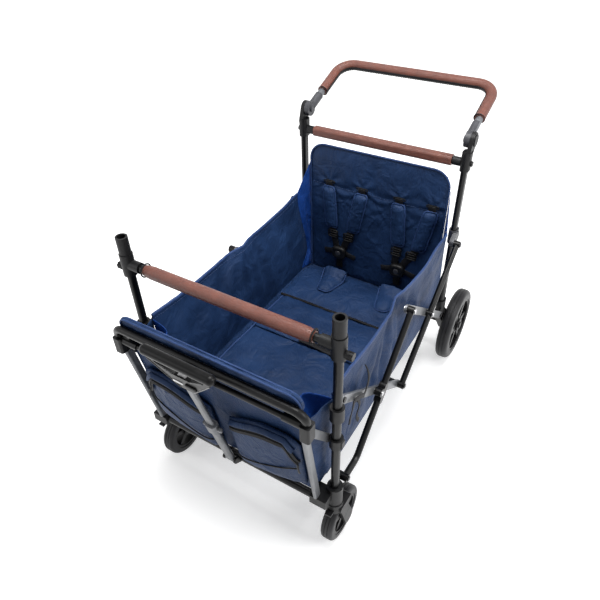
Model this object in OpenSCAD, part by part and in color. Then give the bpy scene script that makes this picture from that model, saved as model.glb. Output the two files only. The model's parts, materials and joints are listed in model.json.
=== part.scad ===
// Stroller wagon with a folding double-scissor frame, fabric tub, push handle and pull handle.
// Millimetres, +Z up, front of the wagon towards -Y, floor at Z = 0.

/* [Frame] */
// Distance of the front post axes outside the edge of the tub floor
front_post_out = 33; // [14:1:54]
// Distance of the rear post axes outside the edge of the tub floor
rear_post_out = 16; // [9:1:20]
// Distance from the front post line to the rear post line
post_spacing = 804; // [760:2:860]
// Outer diameter of the front posts
front_post_d = 22; // [20:1:24]
// Wall of all frame tubes
tube_wall = 2; // [1.2:0.1:2.5]
// Height of the front bar
front_bar_z = 757; // [745:1:775]
// Height of the open sockets on top of the front posts
socket_top_z = 834; // [815:1:850]
// Depth of the sockets
socket_depth = 44; // [30:1:50]
// Bore of the sockets, for canopy poles
socket_d = 21; // [17:0.5:21]
// Width of a rear post across the wagon
rear_post_w = 18; // [16:1:20]
// Depth of a rear post along the wagon
rear_post_l = 30; // [26:1:32]
// Height of the rear bar
rear_bar_z = 812; // [808:1:816]
// Diameter of the cross bar tubes
bar_tube_d = 20; // [18:1:22]
// Diameter of the leather wrap of the front bar
bar_grip_d = 33; // [28:1:36]
// Height of the lower front beam
front_beam_z = 238; // [234:1:242]
// Diameter of the lower front beam
front_beam_d = 22; // [18:1:24]

/* [Wheels] */
// Diameter of the front wheels
front_wheel_d = 162; // [150:1:166]
// Width of the front wheels
front_wheel_w = 36; // [30:1:40]
// Distance of the front axle behind the swivel axis
caster_trail = 41; // [36:1:46]
// Diameter of the rear wheels
rear_wheel_d = 268; // [240:2:276]
// Width of the rear wheels
rear_wheel_w = 44; // [38:1:48]
// Distance between the middles of the rear wheels
rear_wheel_track = 614; // [610:2:630]
// Distance of the rear axle behind the rear posts
rear_axle_back = 98; // [90:1:110]
// Diameter of the front axle pins
front_axle_d = 10; // [8:1:12]
// Diameter of the rear axle pins
rear_axle_d = 12; // [10:1:14]

/* [Fold linkage] */
// Height of the lower pivots
pivot_low_z = 265; // [262:1:270]
// Height of the upper pivots
pivot_high_z = 560; // [545:1:575]
// Distance of the pivots from the post axes
pivot_setback = 36; // [35:1:40]
// Diameter of the black arm tubes
arm_tube_d = 18; // [14:1:18]
// Width of the grey flat arms
arm_flat_w = 24; // [20:1:26]
// Thickness of the grey flat arms
arm_flat_t = 6; // [4:0.5:7]
// Distance of the grey flat arms outside the edge of the tub floor
arm_out = 28; // [28:0.5:29]
// Diameter of the pivot pins
pivot_pin_d = 8; // [6:0.5:9]
// Horizontal run of the lower front arms before their bend
arm_foot = 66; // [55:1:75]

/* [Push handle] */
// Height of the push handle pivots
handle_pivot_z = 874; // [872:1:890]
// Distance of the push handle pivots behind the rear posts
handle_pivot_back = 19; // [10:1:25]
// Length from the pivot to the bar
handle_reach = 238; // [200:2:280]
// Rise of the handle above the horizontal
handle_tilt = 20.6; // [0:0.1:40]
// Bend radius of the handle corners
handle_bend = 55; // [45:1:70]
// Diameter of the handle tube
handle_tube_d = 22; // [20:1:24]
// Diameter of the leather wrap of the handle
handle_grip_d = 31; // [28:1:34]
// Length of bare tube between the pivot and the leather
handle_bare = 88; // [70:1:120]

/* [Pull handle] */
// Distance of the pull handle pivot in front of the front posts
pull_pivot_fwd = 58; // [52:1:62]
// Height of the pull handle pivot
pull_pivot_z = 250; // [245:1:255]
// Forward lean of the parked pull handle
pull_lean = 13.5; // [12:0.5:16]
// Length from the pull pivot to the grip bar
pull_length = 470; // [450:1:490]
// Diameter of the pull grip bar
pull_grip_d = 25; // [22:1:28]
// Width of the pull grip
pull_grip_w = 176; // [160:2:200]
// Length of the lower stem tube
pull_lower_l = 185; // [170:1:200]
// Width of the lower stem tube
pull_lower_w = 28; // [26:1:32]
// Thickness of the lower stem tube
pull_lower_t = 16; // [16:0.5:18]

/* [Front hoop] */
// Height of the hoop tube
hoop_z = 641; // [630:1:655]
// Height of the middle of the hinge blocks
block_z = 582; // [575:1:588]
// Distance of a hinge block outside the edge of the tub floor
block_out = 13; // [8:1:15]
// Distance of the foot of the front panel in front of the posts
panel_foot = 34; // [32:1:36]
// Forward lean of the front panel
panel_lean = 8.5; // [7:0.5:10]
// Diameter of the hoop tube
hoop_d = 20; // [18:1:22]

/* [Soft goods] */
// Height of the top of the tub floor cloth
tub_floor_z = 278; // [277:0.5:280]
// Thickness of the floor mat
mat_t = 15; // [10:1:20]
// Inside half width of the tub at its floor
tub_half_w = 256; // [240:1:280]
// Height of the side edge of the tub
side_top_z = 594; // [585:1:610]
// Height of the backrest top
backrest_top_z = 780; // [760:1:785]
// Thickness of the cloth panels
cloth_t = 4; // [3:0.5:5]
// Thickness of the backrest pad
backrest_t = 20; // [15:1:26]
// Thickness of a front pocket
pocket_t = 40; // [30:1:42]

/* [Hidden] */
$fn = 48;
// Running clearance of pins and shafts, per side
run = 0.05;
// Clearance between sliding pieces and between soft solids
slip = 0.3;
// Cover beyond a face in a cut
eps = 1;

front_y = -post_spacing / 2;
rear_y = post_spacing / 2;
front_x = tub_half_w + front_post_out;
rear_x = tub_half_w + rear_post_out;
arm_flat_x = tub_half_w + arm_out;
block_x = tub_half_w + block_out;
tube_r = front_post_d / 2;

// Overall ends in Y: the grip bar of the pull handle and the wrapped bar of the push handle
pull_pivot_y = front_y - pull_pivot_fwd;
pull_end_y = pull_pivot_y - pull_length * sin(pull_lean) - pull_grip_d / 2;
handle_pivot_y = rear_y + handle_pivot_back;
handle_bar_y = handle_pivot_y + handle_reach * cos(handle_tilt);
handle_bar_z = handle_pivot_z + handle_reach * sin(handle_tilt);
handle_end_y = handle_bar_y + handle_grip_d / 2;
// The origin stands on the floor under the middle of the overall box
y_shift = -(pull_end_y + handle_end_y) / 2;

// Scissor pivots, Y and Z
front_pivot_y = front_y + pivot_setback;
rear_pivot_y = rear_y - pivot_setback;
front_low = [front_pivot_y, pivot_low_z];
front_high = [front_pivot_y, pivot_high_z];
mid_low = [0, pivot_low_z];
mid_high = [0, pivot_high_z];
rear_low = [rear_pivot_y, pivot_low_z];
rear_high = [rear_pivot_y, pivot_high_z];
front_cross = (front_low + mid_high) / 2;
rear_cross = (mid_low + rear_high) / 2;

arm_gap = 2;
flat_in = arm_flat_x - arm_flat_t / 2;
flat_out = arm_flat_x + arm_flat_t / 2;
arm_tube_r = arm_tube_d / 2;
arm_tube_x = flat_out + arm_gap + arm_tube_r;
// Eyes stand a little proud of the tubes that carry them
eye_proud = 0.5;
eye_in = arm_tube_x - arm_tube_r - eye_proud;
eye_out = arm_tube_x + arm_tube_r + eye_proud;
arm_bend = 34;
pin_r = pivot_pin_d / 2;
eye_r = 11;
pin_head_r = 7;
pin_head_t = 3;
// Bulge of the tub's sides, and the room between them and the scissor lugs
side_bulge = 13;
lug_room = 2;
lug_in = tub_half_w + side_bulge + cloth_t + lug_room;

// Front posts and their fittings
post_bottom_z = 228;
clamp_r = tube_r + 4;
clamp_h = 60;
clamp_bottom_z = front_bar_z - clamp_h / 2;
post_top_z = socket_top_z - socket_depth;
collar_r = tube_r + 6;
strut_collar_z = 450;
strut_collar_h = 30;
strut_t = 5;
strut_w = 20;
strut_x = front_x - collar_r - slip - strut_t / 2;
knob_r = 10;
knob_l = 14;
knob_stem_r = 4;
knob_seat_x = front_x + clamp_r + 4;
knob_z = front_bar_z - 14;
bar_socket_r = bar_tube_d / 2 + 4;
bar_socket_l = 42;

// Caster housings, forks and wheels
barrel_r = 21;
barrel_bottom_z = front_wheel_d + 26;
barrel_top_z = 268;
stem_r = 8;
stem_depth = 34;
crown_t = 18;
crown_z = barrel_bottom_z - 1 - crown_t;
front_wheel_x = front_x - 5;
front_axle_y = front_y + caster_trail;
front_wheel_r = front_wheel_d / 2;
fork_gap = 3;
fork_t = 10;
fork_x = front_wheel_x + front_wheel_w / 2 + fork_gap;
front_hub_r = 16;
front_rim_r = front_wheel_r - 20;
lock_w = 18;
lock_eye_r = 4;
lock_y = front_y - barrel_r + 4;
lock_pin_r = 2;
lock_pin_l = 3;
lock_z = crown_z + crown_t / 2;

// Lower beam, legs, struts, hinge blocks and hoop
beam_r = front_beam_d / 2;
beam_y = front_y - panel_foot;
bracket_out = 2;
bracket_x = tub_half_w + bracket_out;
bracket_half = 16;
bracket_h = 30;
bracket_top_z = front_beam_z + bracket_h / 2;
block_w = 26;
block_l = 30;
block_h = 46;
block_bottom_z = block_z - block_h / 2;
block_top_z = block_z + block_h / 2;
hoop_r = hoop_d / 2;
hoop_bend = 30;
// Spare length at the hoop's feet, trimmed to the tops of the blocks
hoop_sink = 8;
rail_r = 7;
rail_sleeve_r = 10;
rail_sleeve_l = 46;
rail_drop = 46;
panel_foot_z = 250;
hoop_fwd = (hoop_r + slip) / cos(panel_lean);
leg_w = 24;
leg_t = 12;

// Rear posts, legs and axle
post_fit = 5;
rear_post_bottom_z = 262;
rear_post_top_z = 840;
rear_wheel_r = rear_wheel_d / 2;
rear_axle_y = rear_y + rear_axle_back;
rear_axle_z = rear_wheel_r;
rear_wheel_x = rear_wheel_track / 2;
wheel_in = rear_wheel_x - rear_wheel_w / 2;
// A leg's plate stands beside the wheel, and a bridge joins it to the socket of the post
leg_gap = 4.3;
leg_plate_t = 21.7;
leg_out_x = wheel_in - leg_gap;
leg_in_x = leg_out_x - leg_plate_t;
leg_rib = 1;
bridge_in = min(leg_in_x, rear_x - rear_post_w / 2 - post_fit + leg_rib);
bridge_out = max(leg_out_x, rear_x + rear_post_w / 2 + post_fit - leg_rib);
bridge_l = 12;
bridge_h = 22;
axle_tube_r = 13;
rear_hub_r = 24;
rear_rim_r = rear_wheel_r - 32;
pedal_x = 60;
pedal_w = 70;
pedal_l = 78;
pedal_drop = 12;

// Push handle
knuckle_r = 23;
knuckle_t = 16;
knuckle_out_x = rear_x - 1;
knuckle_in_x = knuckle_out_x - knuckle_t;
hinge_plate_t = 12;
handle_x = (knuckle_in_x + knuckle_out_x) / 2;
handle_r = handle_tube_d / 2;
button_r = 10;
button_l = 11;
button_out = 5;
hinge_pin_r = 6;
// The tube starts inside the knuckle's socket
tube_start = knuckle_r + 7;
socket_end = handle_bare - 22;
socket_r = handle_r + 3;

// Pull handle
ear_x = pull_lower_w / 2 + 1;
ear_t = 6;
upper_w = pull_lower_w - 2 * tube_wall - 2 * slip;
upper_t = pull_lower_t - 2 * tube_wall - 2 * slip;
sleeve_l = 36;
sleeve_wall = 4;
wing_w = 15;
wing_l = 10;
wing_r = 4;
stem_floor = 12;
yoke_foot = 96;
yoke_t = 14;
pull_button_w = 22;
pull_button_l = 12;
pull_button_t = 8;

// Soft goods
soft_back_y = rear_y - 4;
rear_grip_w = 30;
pad_front_y = soft_back_y - backrest_t;
back_inset = 12;
back_half_w = tub_half_w - back_inset;
corner_r = 55;
seam_seat_y = 174;
seam_mid_y = -16;
seam_gap = 4;
mat_half_w = tub_half_w - 8;
mat_z = tub_floor_z + slip;
mat_front_y = beam_y + leg_w / 2 + 10;
mat_top_z = mat_z + mat_t;
mat_back_y = pad_front_y - 8;
// The front panel and, on each half of it, a pocket between the middle and the edge
front_inset = 10;
front_half_w = tub_half_w - front_inset;
pocket_mid = 28;
pocket_edge = 6;
pocket_w = front_half_w - pocket_mid - pocket_edge;
pocket_x = pocket_mid + pocket_w / 2;
pocket_h = 196;
pocket_z = 264;
// Upper and lower ends of the shoulder pads, and the middles of the crotch pads, as shares of the half width
shoulder_tops = [-0.672, -0.168, 0.369, 0.82] * back_half_w;
shoulder_feet = [-0.615, -0.283, 0.418, 0.705] * back_half_w;
crotch_xs = [-0.475, 0.451] * back_half_w;
shoulder_w = 48;
shoulder_l = 154;
shoulder_t = 16;
shoulder_z = 486;
slot_z = 655;
webbing_w = 25;
webbing_t = 3;

// Colours
BLACK = [0.06, 0.06, 0.07];
GREY = [0.38, 0.38, 0.39];
PLASTIC = [0.13, 0.13, 0.14];
LEATHER = [0.36, 0.18, 0.13];
NAVY = [0.08, 0.14, 0.28];
BLUE = [0.09, 0.2, 0.5];
RUBBER = [0.09, 0.09, 0.09];

// Shared shapes

// The finished part stands with its origin under the middle of its box
module place() {
    translate([0, y_shift, 0]) children();
}

// A right-hand piece and its mirror image
module both() {
    children();
    mirror([1, 0, 0]) children();
}

// Side 1 is the right, side -1 the left
module on_side(side) {
    if (side > 0) children();
    else mirror([1, 0, 0]) children();
}

// Cylinder along X between two X values at a point [y, z]
module rod_x(x0, x1, yz, r) {
    translate([x0, yz[0], yz[1]]) rotate([0, 90, 0]) cylinder(r = r, h = x1 - x0);
}

// Outline in the YZ plane, thickened along X from x0 to x1
module plate_x(x0, x1) {
    translate([x0, 0, 0]) rotate([90, 0, 90]) linear_extrude(x1 - x0) children();
}

// Rounded rectangle about the origin
module rounded(w, h, r) {
    square([w - 2 * r, h], center = true);
    square([w, h - 2 * r], center = true);
    for (x = [-1, 1], y = [-1, 1])
        translate([x * (w / 2 - r), y * (h / 2 - r)]) circle(r);
}

// Bar with round ends between two points of a plane
module link2d(p, q, w) {
    d = q - p;
    translate(p) rotate(atan2(d[1], d[0])) {
        translate([0, -w / 2]) square([norm(d), w]);
        circle(w / 2);
        translate([norm(d), 0]) circle(w / 2);
    }
}

// Web with straight sides that runs tangent from one round to another
module web2d(p, rp, q, rq) {
    d = q - p;
    lean = acos((rp - rq) / norm(d));
    translate(p) rotate(atan2(d[1], d[0])) {
        polygon([[rp * cos(lean), rp * sin(lean)], [rp * cos(lean), -rp * sin(lean)],
            [norm(d) + rq * cos(lean), -rq * sin(lean)], [norm(d) + rq * cos(lean), rq * sin(lean)]]);
        circle(rp);
        translate([norm(d), 0]) circle(rq);
    }
}

function unit(v) = v / norm(v);

// Frame whose Z axis points from p along d
module aim(p, d) {
    z = unit(d);
    x = unit(cross(abs(z[0]) > 0.9 ? [0, 0, 1] : [1, 0, 0], z));
    y = cross(z, x);
    multmatrix([[x[0], y[0], z[0], p[0]], [x[1], y[1], z[1], p[1]], [x[2], y[2], z[2], p[2]], [0, 0, 0, 1]])
        children();
}

// Tube bent to a U in the XY plane: legs along Y at X = half and -half, closed by a bar at Y = leg
module u_tube(half, leg, bend, r, bore) {
    both() {
        translate([half, 0, 0]) rotate([-90, 0, 0]) ring(r, bore, leg - bend);
        translate([half - bend, leg - bend, 0])
            rotate_extrude(angle = 90) translate([bend, 0]) difference() {
            circle(r);
            circle(bore);
        }
    }
    translate([bend - half, leg, 0]) rotate([0, 90, 0]) ring(r, bore, 2 * (half - bend));
}

// Straight tube
module ring(r, bore, h) {
    difference() {
        cylinder(r = r, h = h);
        translate([0, 0, -eps]) cylinder(r = bore, h = h + 2 * eps);
    }
}

// Tube in the YZ plane from a foot point, level for a run, then turned up through a bend of radius bend
function bent_rings(foot, level, rise_to, bend, steps) = let (
    corner = foot + [level, 0],
    d = unit(rise_to - corner),
    turn = atan2(d[1], d[0]),
    cut = bend * tan(turn / 2),
    c = corner + [-cut, bend])
    concat([[foot, 0]],
        [for (i = [0 : steps]) let (a = turn * i / steps) [c + bend * [sin(a), -cos(a)], a]],
        [[rise_to, turn]]);

module bent_tube(x, rings, r, sides) {
    n = len(rings);
    polyhedron(points = [for (q = rings, k = [0 : sides - 1]) let (t = 360 * k / sides)
        [x + r * cos(t), q[0][0] - r * sin(t) * sin(q[1]), q[0][1] + r * sin(t) * cos(q[1])]],
        faces = concat([[for (k = [0 : sides - 1]) sides - 1 - k]],
            [for (j = [0 : n - 2], k = [0 : sides - 1]) let (m = (k + 1) % sides) each
                [[j * sides + k, j * sides + m, (j + 1) * sides + m],
                    [j * sides + k, (j + 1) * sides + m, (j + 1) * sides + k]]],
            [[for (k = [0 : sides - 1]) (n - 1) * sides + k]]), convexity = 4);
}

// Faces of a slab between a front and a back grid of points, each of nu by nv cells
function slab_faces(nu, nv) = let (w = nu + 1, n = w * (nv + 1)) concat(
    [for (j = [0 : nv - 1], i = [0 : nu - 1]) each
        [[j * w + i, (j + 1) * w + i + 1, j * w + i + 1],
         [j * w + i, (j + 1) * w + i, (j + 1) * w + i + 1]]],
    [for (j = [0 : nv - 1], i = [0 : nu - 1]) each
        [[n + j * w + i, n + j * w + i + 1, n + (j + 1) * w + i + 1],
            [n + j * w + i, n + (j + 1) * w + i + 1, n + (j + 1) * w + i]]],
    [for (i = [0 : nu - 1]) each
        [[i, i + 1, n + i + 1], [i, n + i + 1, n + i],
            [nv * w + i, n + nv * w + i + 1, nv * w + i + 1],
            [nv * w + i, n + nv * w + i, n + nv * w + i + 1]]],
    [for (j = [0 : nv - 1]) each
        [[j * w, n + (j + 1) * w, (j + 1) * w], [j * w, n + j * w, n + (j + 1) * w],
            [j * w + nu, (j + 1) * w + nu, n + (j + 1) * w + nu],
            [j * w + nu, n + (j + 1) * w + nu, n + j * w + nu]]]);

// Closed solid between front(u, v) and back(u, v), with u and v from 0 to 1
module slab(nu, nv, front, back) {
    polyhedron(points = concat(
        [for (j = [0 : nv], i = [0 : nu]) front(i / nu, j / nv)],
        [for (j = [0 : nv], i = [0 : nu]) back(i / nu, j / nv)]),
        faces = slab_faces(nu, nv), convexity = 6);
}

// Crown of a cushion: 1 over the middle, falling to 0 at the edges
function crown(u, v) = pow(1 - pow(abs(2 * u - 1), 4), 0.5) * pow(1 - pow(abs(2 * v - 1), 4), 0.5);

// Dent of a sewn channel at c, w wide
function channel(t, c, w) = exp(-pow((t - c) / w, 2));

// Smooth step from 0 at a to 1 at b
function ease(t, a, b) = let (s = min(1, max(0, (t - a) / (b - a)))) s * s * (3 - 2 * s);

// Front frame

module front_posts() {
    color(BLACK) both() translate([front_x, front_y, post_bottom_z]) difference() {
        cylinder(r = tube_r, h = post_top_z - post_bottom_z);
        translate([0, 0, -eps]) cylinder(r = tube_r - tube_wall, h = post_top_z - post_bottom_z + 2 * eps);
    }
}

// T clamps with the open sockets, and the collars that hold the front struts
module post_fittings() {
    color(PLASTIC) both() {
        difference() {
            union() {
                translate([front_x, front_y, clamp_bottom_z])
                    cylinder(r = clamp_r, h = socket_top_z - clamp_bottom_z);
                translate([front_x, front_y, clamp_bottom_z]) cylinder(r = clamp_r + 2, h = clamp_h);
                rod_x(front_x - bar_socket_l, front_x, [front_y, front_bar_z], bar_socket_r);
                rod_x(front_x, knob_seat_x, [front_y, knob_z], knob_r - 1);
            }
            translate([front_x, front_y, clamp_bottom_z - eps])
                cylinder(r = tube_r, h = post_top_z - clamp_bottom_z + eps);
            translate([front_x, front_y, post_top_z - eps])
                cylinder(r = socket_d / 2, h = socket_depth + 2 * eps);
            rod_x(front_x - bar_socket_l - eps, front_x - clamp_r, [front_y, front_bar_z], bar_tube_d / 2);
            rod_x(front_x + tube_r + 1, knob_seat_x + eps, [front_y, knob_z], knob_stem_r + run);
        }
        difference() {
            union() {
                translate([front_x, front_y, strut_collar_z - strut_collar_h / 2])
                    cylinder(r = collar_r, h = strut_collar_h);
                rod_x(strut_x + strut_t / 2, front_x, [front_y, strut_collar_z], pin_head_r + 2);
                rod_x(strut_x - strut_t / 2, front_x, [front_y, strut_collar_z], pin_r);
                translate([front_x + collar_r - 4, front_y, strut_collar_z]) rotate([90, 0, 0])
                    linear_extrude(14, center = true) rounded(12, 24, 3);
            }
            translate([front_x, front_y, strut_collar_z - strut_collar_h])
                cylinder(r = tube_r, h = 2 * strut_collar_h);
        }
    }
}

module front_bar() {
    half = front_x - clamp_r;
    color(BLACK) difference() {
        rod_x(-half, half, [front_y, front_bar_z], bar_tube_d / 2);
        rod_x(-half - eps, half + eps, [front_y, front_bar_z], bar_tube_d / 2 - tube_wall);
    }
}

// Leather wrap with tapered ends
module front_bar_grip() {
    half = front_x - bar_socket_l - 14;
    r = bar_grip_d / 2;
    core = bar_tube_d / 2;
    taper = 14;
    color(LEATHER) translate([0, front_y, front_bar_z]) rotate([0, 90, 0]) rotate_extrude()
        polygon([[core, -half], [core + 3, -half], [r - 1, -half + taper], [r, -half + 2 * taper],
            [r, half - 2 * taper], [r - 1, half - taper], [core + 3, half], [core, half]]);
}

// Thumb knob with finger notches and a stem that turns in the clamp
module front_knob(side) {
    notches = 8;
    color(PLASTIC) on_side(side) difference() {
        union() {
            rod_x(knob_seat_x + slip, knob_seat_x + knob_l, [front_y, knob_z], knob_r);
            rod_x(front_x + tube_r + 2, knob_seat_x + eps, [front_y, knob_z], knob_stem_r);
        }
        for (i = [0 : notches - 1])
            rod_x(knob_seat_x + 3, knob_seat_x + knob_l + eps,
                [front_y + knob_r * cos(i * 360 / notches), knob_z + knob_r * sin(i * 360 / notches)], 1.8);
    }
}

// Housings at the feet of the front posts: swivel barrel, scissor lug and beam bracket
module caster_housings() {
    color(PLASTIC) both() difference() {
        union() {
            translate([front_x, front_y, barrel_bottom_z])
                cylinder(r = barrel_r, h = barrel_top_z - barrel_bottom_z);
            translate([front_x, front_y, barrel_bottom_z]) cylinder(r = barrel_r + 2, h = 14);
            plate_x(lug_in, eye_in - slip) {
                translate([front_y, pivot_low_z - eye_r]) square([pivot_setback, 2 * eye_r]);
                translate(front_low) circle(eye_r);
            }
            rod_x(lug_in, eye_out + slip + pin_head_t, front_low, pin_r);
            rod_x(eye_out + slip, eye_out + slip + pin_head_t, front_low, pin_head_r);
            translate([bracket_x - bracket_half, beam_y - bracket_half, bracket_top_z - bracket_h])
                cube([front_x - bracket_x + bracket_half, front_y - beam_y + bracket_half, bracket_h]);
        }
        translate([front_x, front_y, post_bottom_z]) cylinder(r = tube_r, h = barrel_top_z);
        translate([front_x, front_y, barrel_bottom_z - eps])
            cylinder(r = stem_r + run, h = stem_depth + eps);
        rod_x(0, bracket_x + bracket_half - 4, [beam_y, front_beam_z], beam_r);
    }
}

// Lower front beam with the clevis and pin of the pull handle
module front_beam() {
    half = bracket_x + bracket_half - 4;
    pivot = [pull_pivot_y, pull_pivot_z];
    color(BLACK) difference() {
        union() {
            rod_x(-half, half, [beam_y, front_beam_z], beam_r);
            both() plate_x(ear_x, ear_x + ear_t) web2d([beam_y, front_beam_z], beam_r + 3, pivot, 10);
            rod_x(-ear_x - ear_t, ear_x + ear_t, pivot, pin_r);
        }
        rod_x(-half - eps, half + eps, [beam_y, front_beam_z], beam_r - tube_wall);
    }
}

function panel_y(z) = beam_y - (z - panel_foot_z) * tan(panel_lean);

// Oval legs from the beam brackets up to the hinge blocks, and flat struts back to the posts
module front_stays() {
    leg_foot = [bracket_x, beam_y - 2, bracket_top_z - 20];
    leg_head = [block_x - 10, panel_y(block_z) - 10, block_bottom_z + 20];
    strut_head = [panel_y(block_z) - 4, block_z - 12];
    strut_foot = [front_y, strut_collar_z];
    color(GREY) both() {
        intersection() {
            aim(leg_foot, leg_head - leg_foot) linear_extrude(norm(leg_head - leg_foot)) difference() {
                rounded(leg_w, leg_t, leg_t / 2 - 0.01);
                rounded(leg_w - 2 * tube_wall, leg_t - 2 * tube_wall, leg_t / 2 - tube_wall - 0.01);
            }
            translate([0, -post_spacing, bracket_top_z])
                cube([post_spacing, post_spacing, block_bottom_z - bracket_top_z]);
        }
        plate_x(strut_x - strut_t / 2, strut_x + strut_t / 2) difference() {
            link2d(strut_foot, strut_head, strut_w);
            translate(strut_foot) circle(pin_r + run);
            translate(strut_head) circle(pin_r + run);
        }
    }
}

// Hinge blocks of the hoop, with the pins of the struts
module hoop_blocks() {
    mid_y = panel_y(block_z) - 12;
    strut_head = [panel_y(block_z) - 4, block_z - 12];
    slot_out = strut_x + strut_t / 2 + slip;
    slot_in = strut_x - strut_t / 2 - slip;
    color(PLASTIC) both() {
        difference() {
            translate([block_x, mid_y, block_bottom_z]) linear_extrude(block_h) rounded(block_w, block_l, 6);
            plate_x(slot_in, slot_out) link2d(strut_head, [front_y, strut_collar_z], strut_w + 2 * slip);
        }
        rod_x(slot_in, slot_out, strut_head, pin_r);
    }
}

// Hoop tube bent down into the blocks, and the rail with end sleeves below it
module front_hoop() {
    foot_y = panel_y(block_z) - 12;
    rise = [panel_y(hoop_z) - hoop_fwd - foot_y, hoop_z - block_top_z];
    rail_y = panel_y(block_z) - 12;
    rail_z = hoop_z - rail_drop;
    half = block_x - block_w / 2;
    color(BLACK) {
        difference() {
            translate([0, foot_y, block_top_z])
                rotate([atan2(rise[1], rise[0]), 0, 0]) translate([0, -hoop_sink, 0])
                u_tube(block_x, round(norm(rise)) + hoop_sink, hoop_bend, hoop_r, hoop_r - tube_wall);
            translate([-post_spacing, foot_y - post_spacing, block_top_z - 2 * hoop_sink])
                cube([2 * post_spacing, 2 * post_spacing, 2 * hoop_sink]);
        }
        difference() {
            union() {
                rod_x(-half, half, [rail_y, rail_z], rail_r);
                both() rod_x(half - rail_sleeve_l, half, [rail_y, rail_z], rail_sleeve_r);
            }
            rod_x(-half - eps, half + eps, [rail_y, rail_z], rail_r - tube_wall);
        }
    }
}

// Casters

module caster_fork(side) {
    arm_top = [front_y - 4, crown_z + crown_t / 2];
    hub = [front_axle_y, front_wheel_r];
    inner_x = front_wheel_x - front_wheel_w / 2 + 4;
    color(PLASTIC) on_side(side) difference() {
        union() {
            translate([front_x, front_y, crown_z]) cylinder(r = stem_r, h = crown_t + 1 + stem_depth - 3);
            translate([front_x, front_y, crown_z]) cylinder(r = barrel_r + 2, h = crown_t);
            plate_x(inner_x, fork_x + fork_t)
                web2d(arm_top, crown_t / 2, [front_axle_y, crown_z + crown_t / 2], crown_t / 2);
            plate_x(fork_x, fork_x + fork_t) web2d(arm_top + [14, -8], crown_t - 1, hub, front_hub_r + 4);
            rod_x(inner_x, fork_x + fork_t, hub, front_axle_d / 2);
        }
        translate([front_x - lock_w / 2 - slip, lock_y - 10, crown_z - eps])
            cube([lock_w + 2 * slip, 10 + lock_eye_r + slip, crown_t + 2 * eps]);
        rod_x(front_x - lock_w / 2 - lock_pin_l - slip, front_x + lock_w / 2 + lock_pin_l + slip,
            [lock_y, lock_z],
            lock_pin_r + run);
        translate([front_wheel_x, front_axle_y, front_wheel_r]) rotate([0, 90, 0])
            difference() {
                cylinder(r = front_wheel_r + 4, h = front_wheel_w + 2 * fork_gap, center = true);
                cylinder(r = front_axle_d / 2, h = front_wheel_w * 2, center = true);
            }
    }
}

// Swivel-lock tab: an eye on a pin of the crown and a blade that points forward
module caster_lock(side) {
    eye = [lock_y, lock_z];
    color(PLASTIC) on_side(side) {
        rod_x(front_x - lock_w / 2, front_x + lock_w / 2, eye, lock_eye_r);
        rod_x(front_x - lock_w / 2 - lock_pin_l, front_x + lock_w / 2 + lock_pin_l, eye, lock_pin_r);
        translate([front_x - lock_w / 2, lock_y - 20, lock_z - 2.5]) cube([lock_w, 20, 5]);
    }
}

// Wheel disc with a rim, a hub and spokes with open windows between them
module spoked_hub(rim_r, hub_r, bore_r, w, spokes, spoke_w) {
    rim_t = 8;
    taper = 3;
    difference() {
        union() {
            rotate_extrude() polygon([[rim_r - rim_t, -w / 2 + 2], [rim_r, -w / 2 + 2], [rim_r, w / 2 - 2],
                [rim_r - rim_t, w / 2 - 2]]);
            cylinder(r = hub_r, h = w, center = true);
            for (i = [0 : spokes - 1])
                rotate((i + 0.4) * 360 / spokes) linear_extrude(2 * w / 3, center = true)
                polygon([[0, -spoke_w / 2 - taper], [rim_r - rim_t / 2, -spoke_w / 2],
                    [rim_r - rim_t / 2, spoke_w / 2],
                    [0, spoke_w / 2 + taper]]);
        }
        cylinder(r = bore_r, h = w + 2 * eps, center = true);
    }
}

// Tyre with a round crown and a shallow groove on each shoulder
module tyre(r, rim_r, w) {
    shoulder = min(w / 3, 0.45 * (r - rim_r));
    difference() {
        rotate_extrude() {
            translate([rim_r, -w / 2]) square([r - rim_r - shoulder, w]);
            translate([rim_r, -w / 2 + shoulder]) square([r - rim_r, w - 2 * shoulder]);
            for (s = [-1, 1]) translate([r - shoulder, s * (w / 2 - shoulder)]) circle(shoulder);
        }
        rotate_extrude() for (s = [-1, 1]) translate([r - 1, s * w / 8]) circle(1.6, $fn = 24);
    }
}

module wheel_at(x, y, r) {
    translate([x, y, r]) rotate([0, 90, 0]) children();
}

module caster_hub(side) {
    color(PLASTIC) on_side(side) wheel_at(front_wheel_x, front_axle_y, front_wheel_r)
        spoked_hub(front_rim_r, front_hub_r, front_axle_d / 2 + run, front_wheel_w, 5, 12);
}

module caster_tyre(side) {
    color(RUBBER) on_side(side) wheel_at(front_wheel_x, front_axle_y, front_wheel_r)
        tyre(front_wheel_r, front_rim_r, front_wheel_w);
}

module rear_hub(side) {
    color(PLASTIC) on_side(side) wheel_at(rear_wheel_x, rear_axle_y, rear_wheel_r)
        spoked_hub(rear_rim_r, rear_hub_r, rear_axle_d / 2 + run, rear_wheel_w, 6, 15);
}

module rear_tyre(side) {
    color(RUBBER) on_side(side) wheel_at(rear_wheel_x, rear_axle_y, rear_wheel_r)
        tyre(rear_wheel_r, rear_rim_r, rear_wheel_w);
}

// Pull handle: X across, Y along the stem from the pivot, Z away from the tub

module on_stem() {
    translate([0, pull_pivot_y, pull_pivot_z]) rotate([90 + pull_lean, 0, 0]) children();
}

// Oval tube along the stem from s0 to s1
module stem_tube(s0, s1, w, t) {
    translate([0, s0, 0]) rotate([-90, 0, 0]) linear_extrude(s1 - s0) rounded(w, t, t / 2 - 0.01);
}

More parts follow.
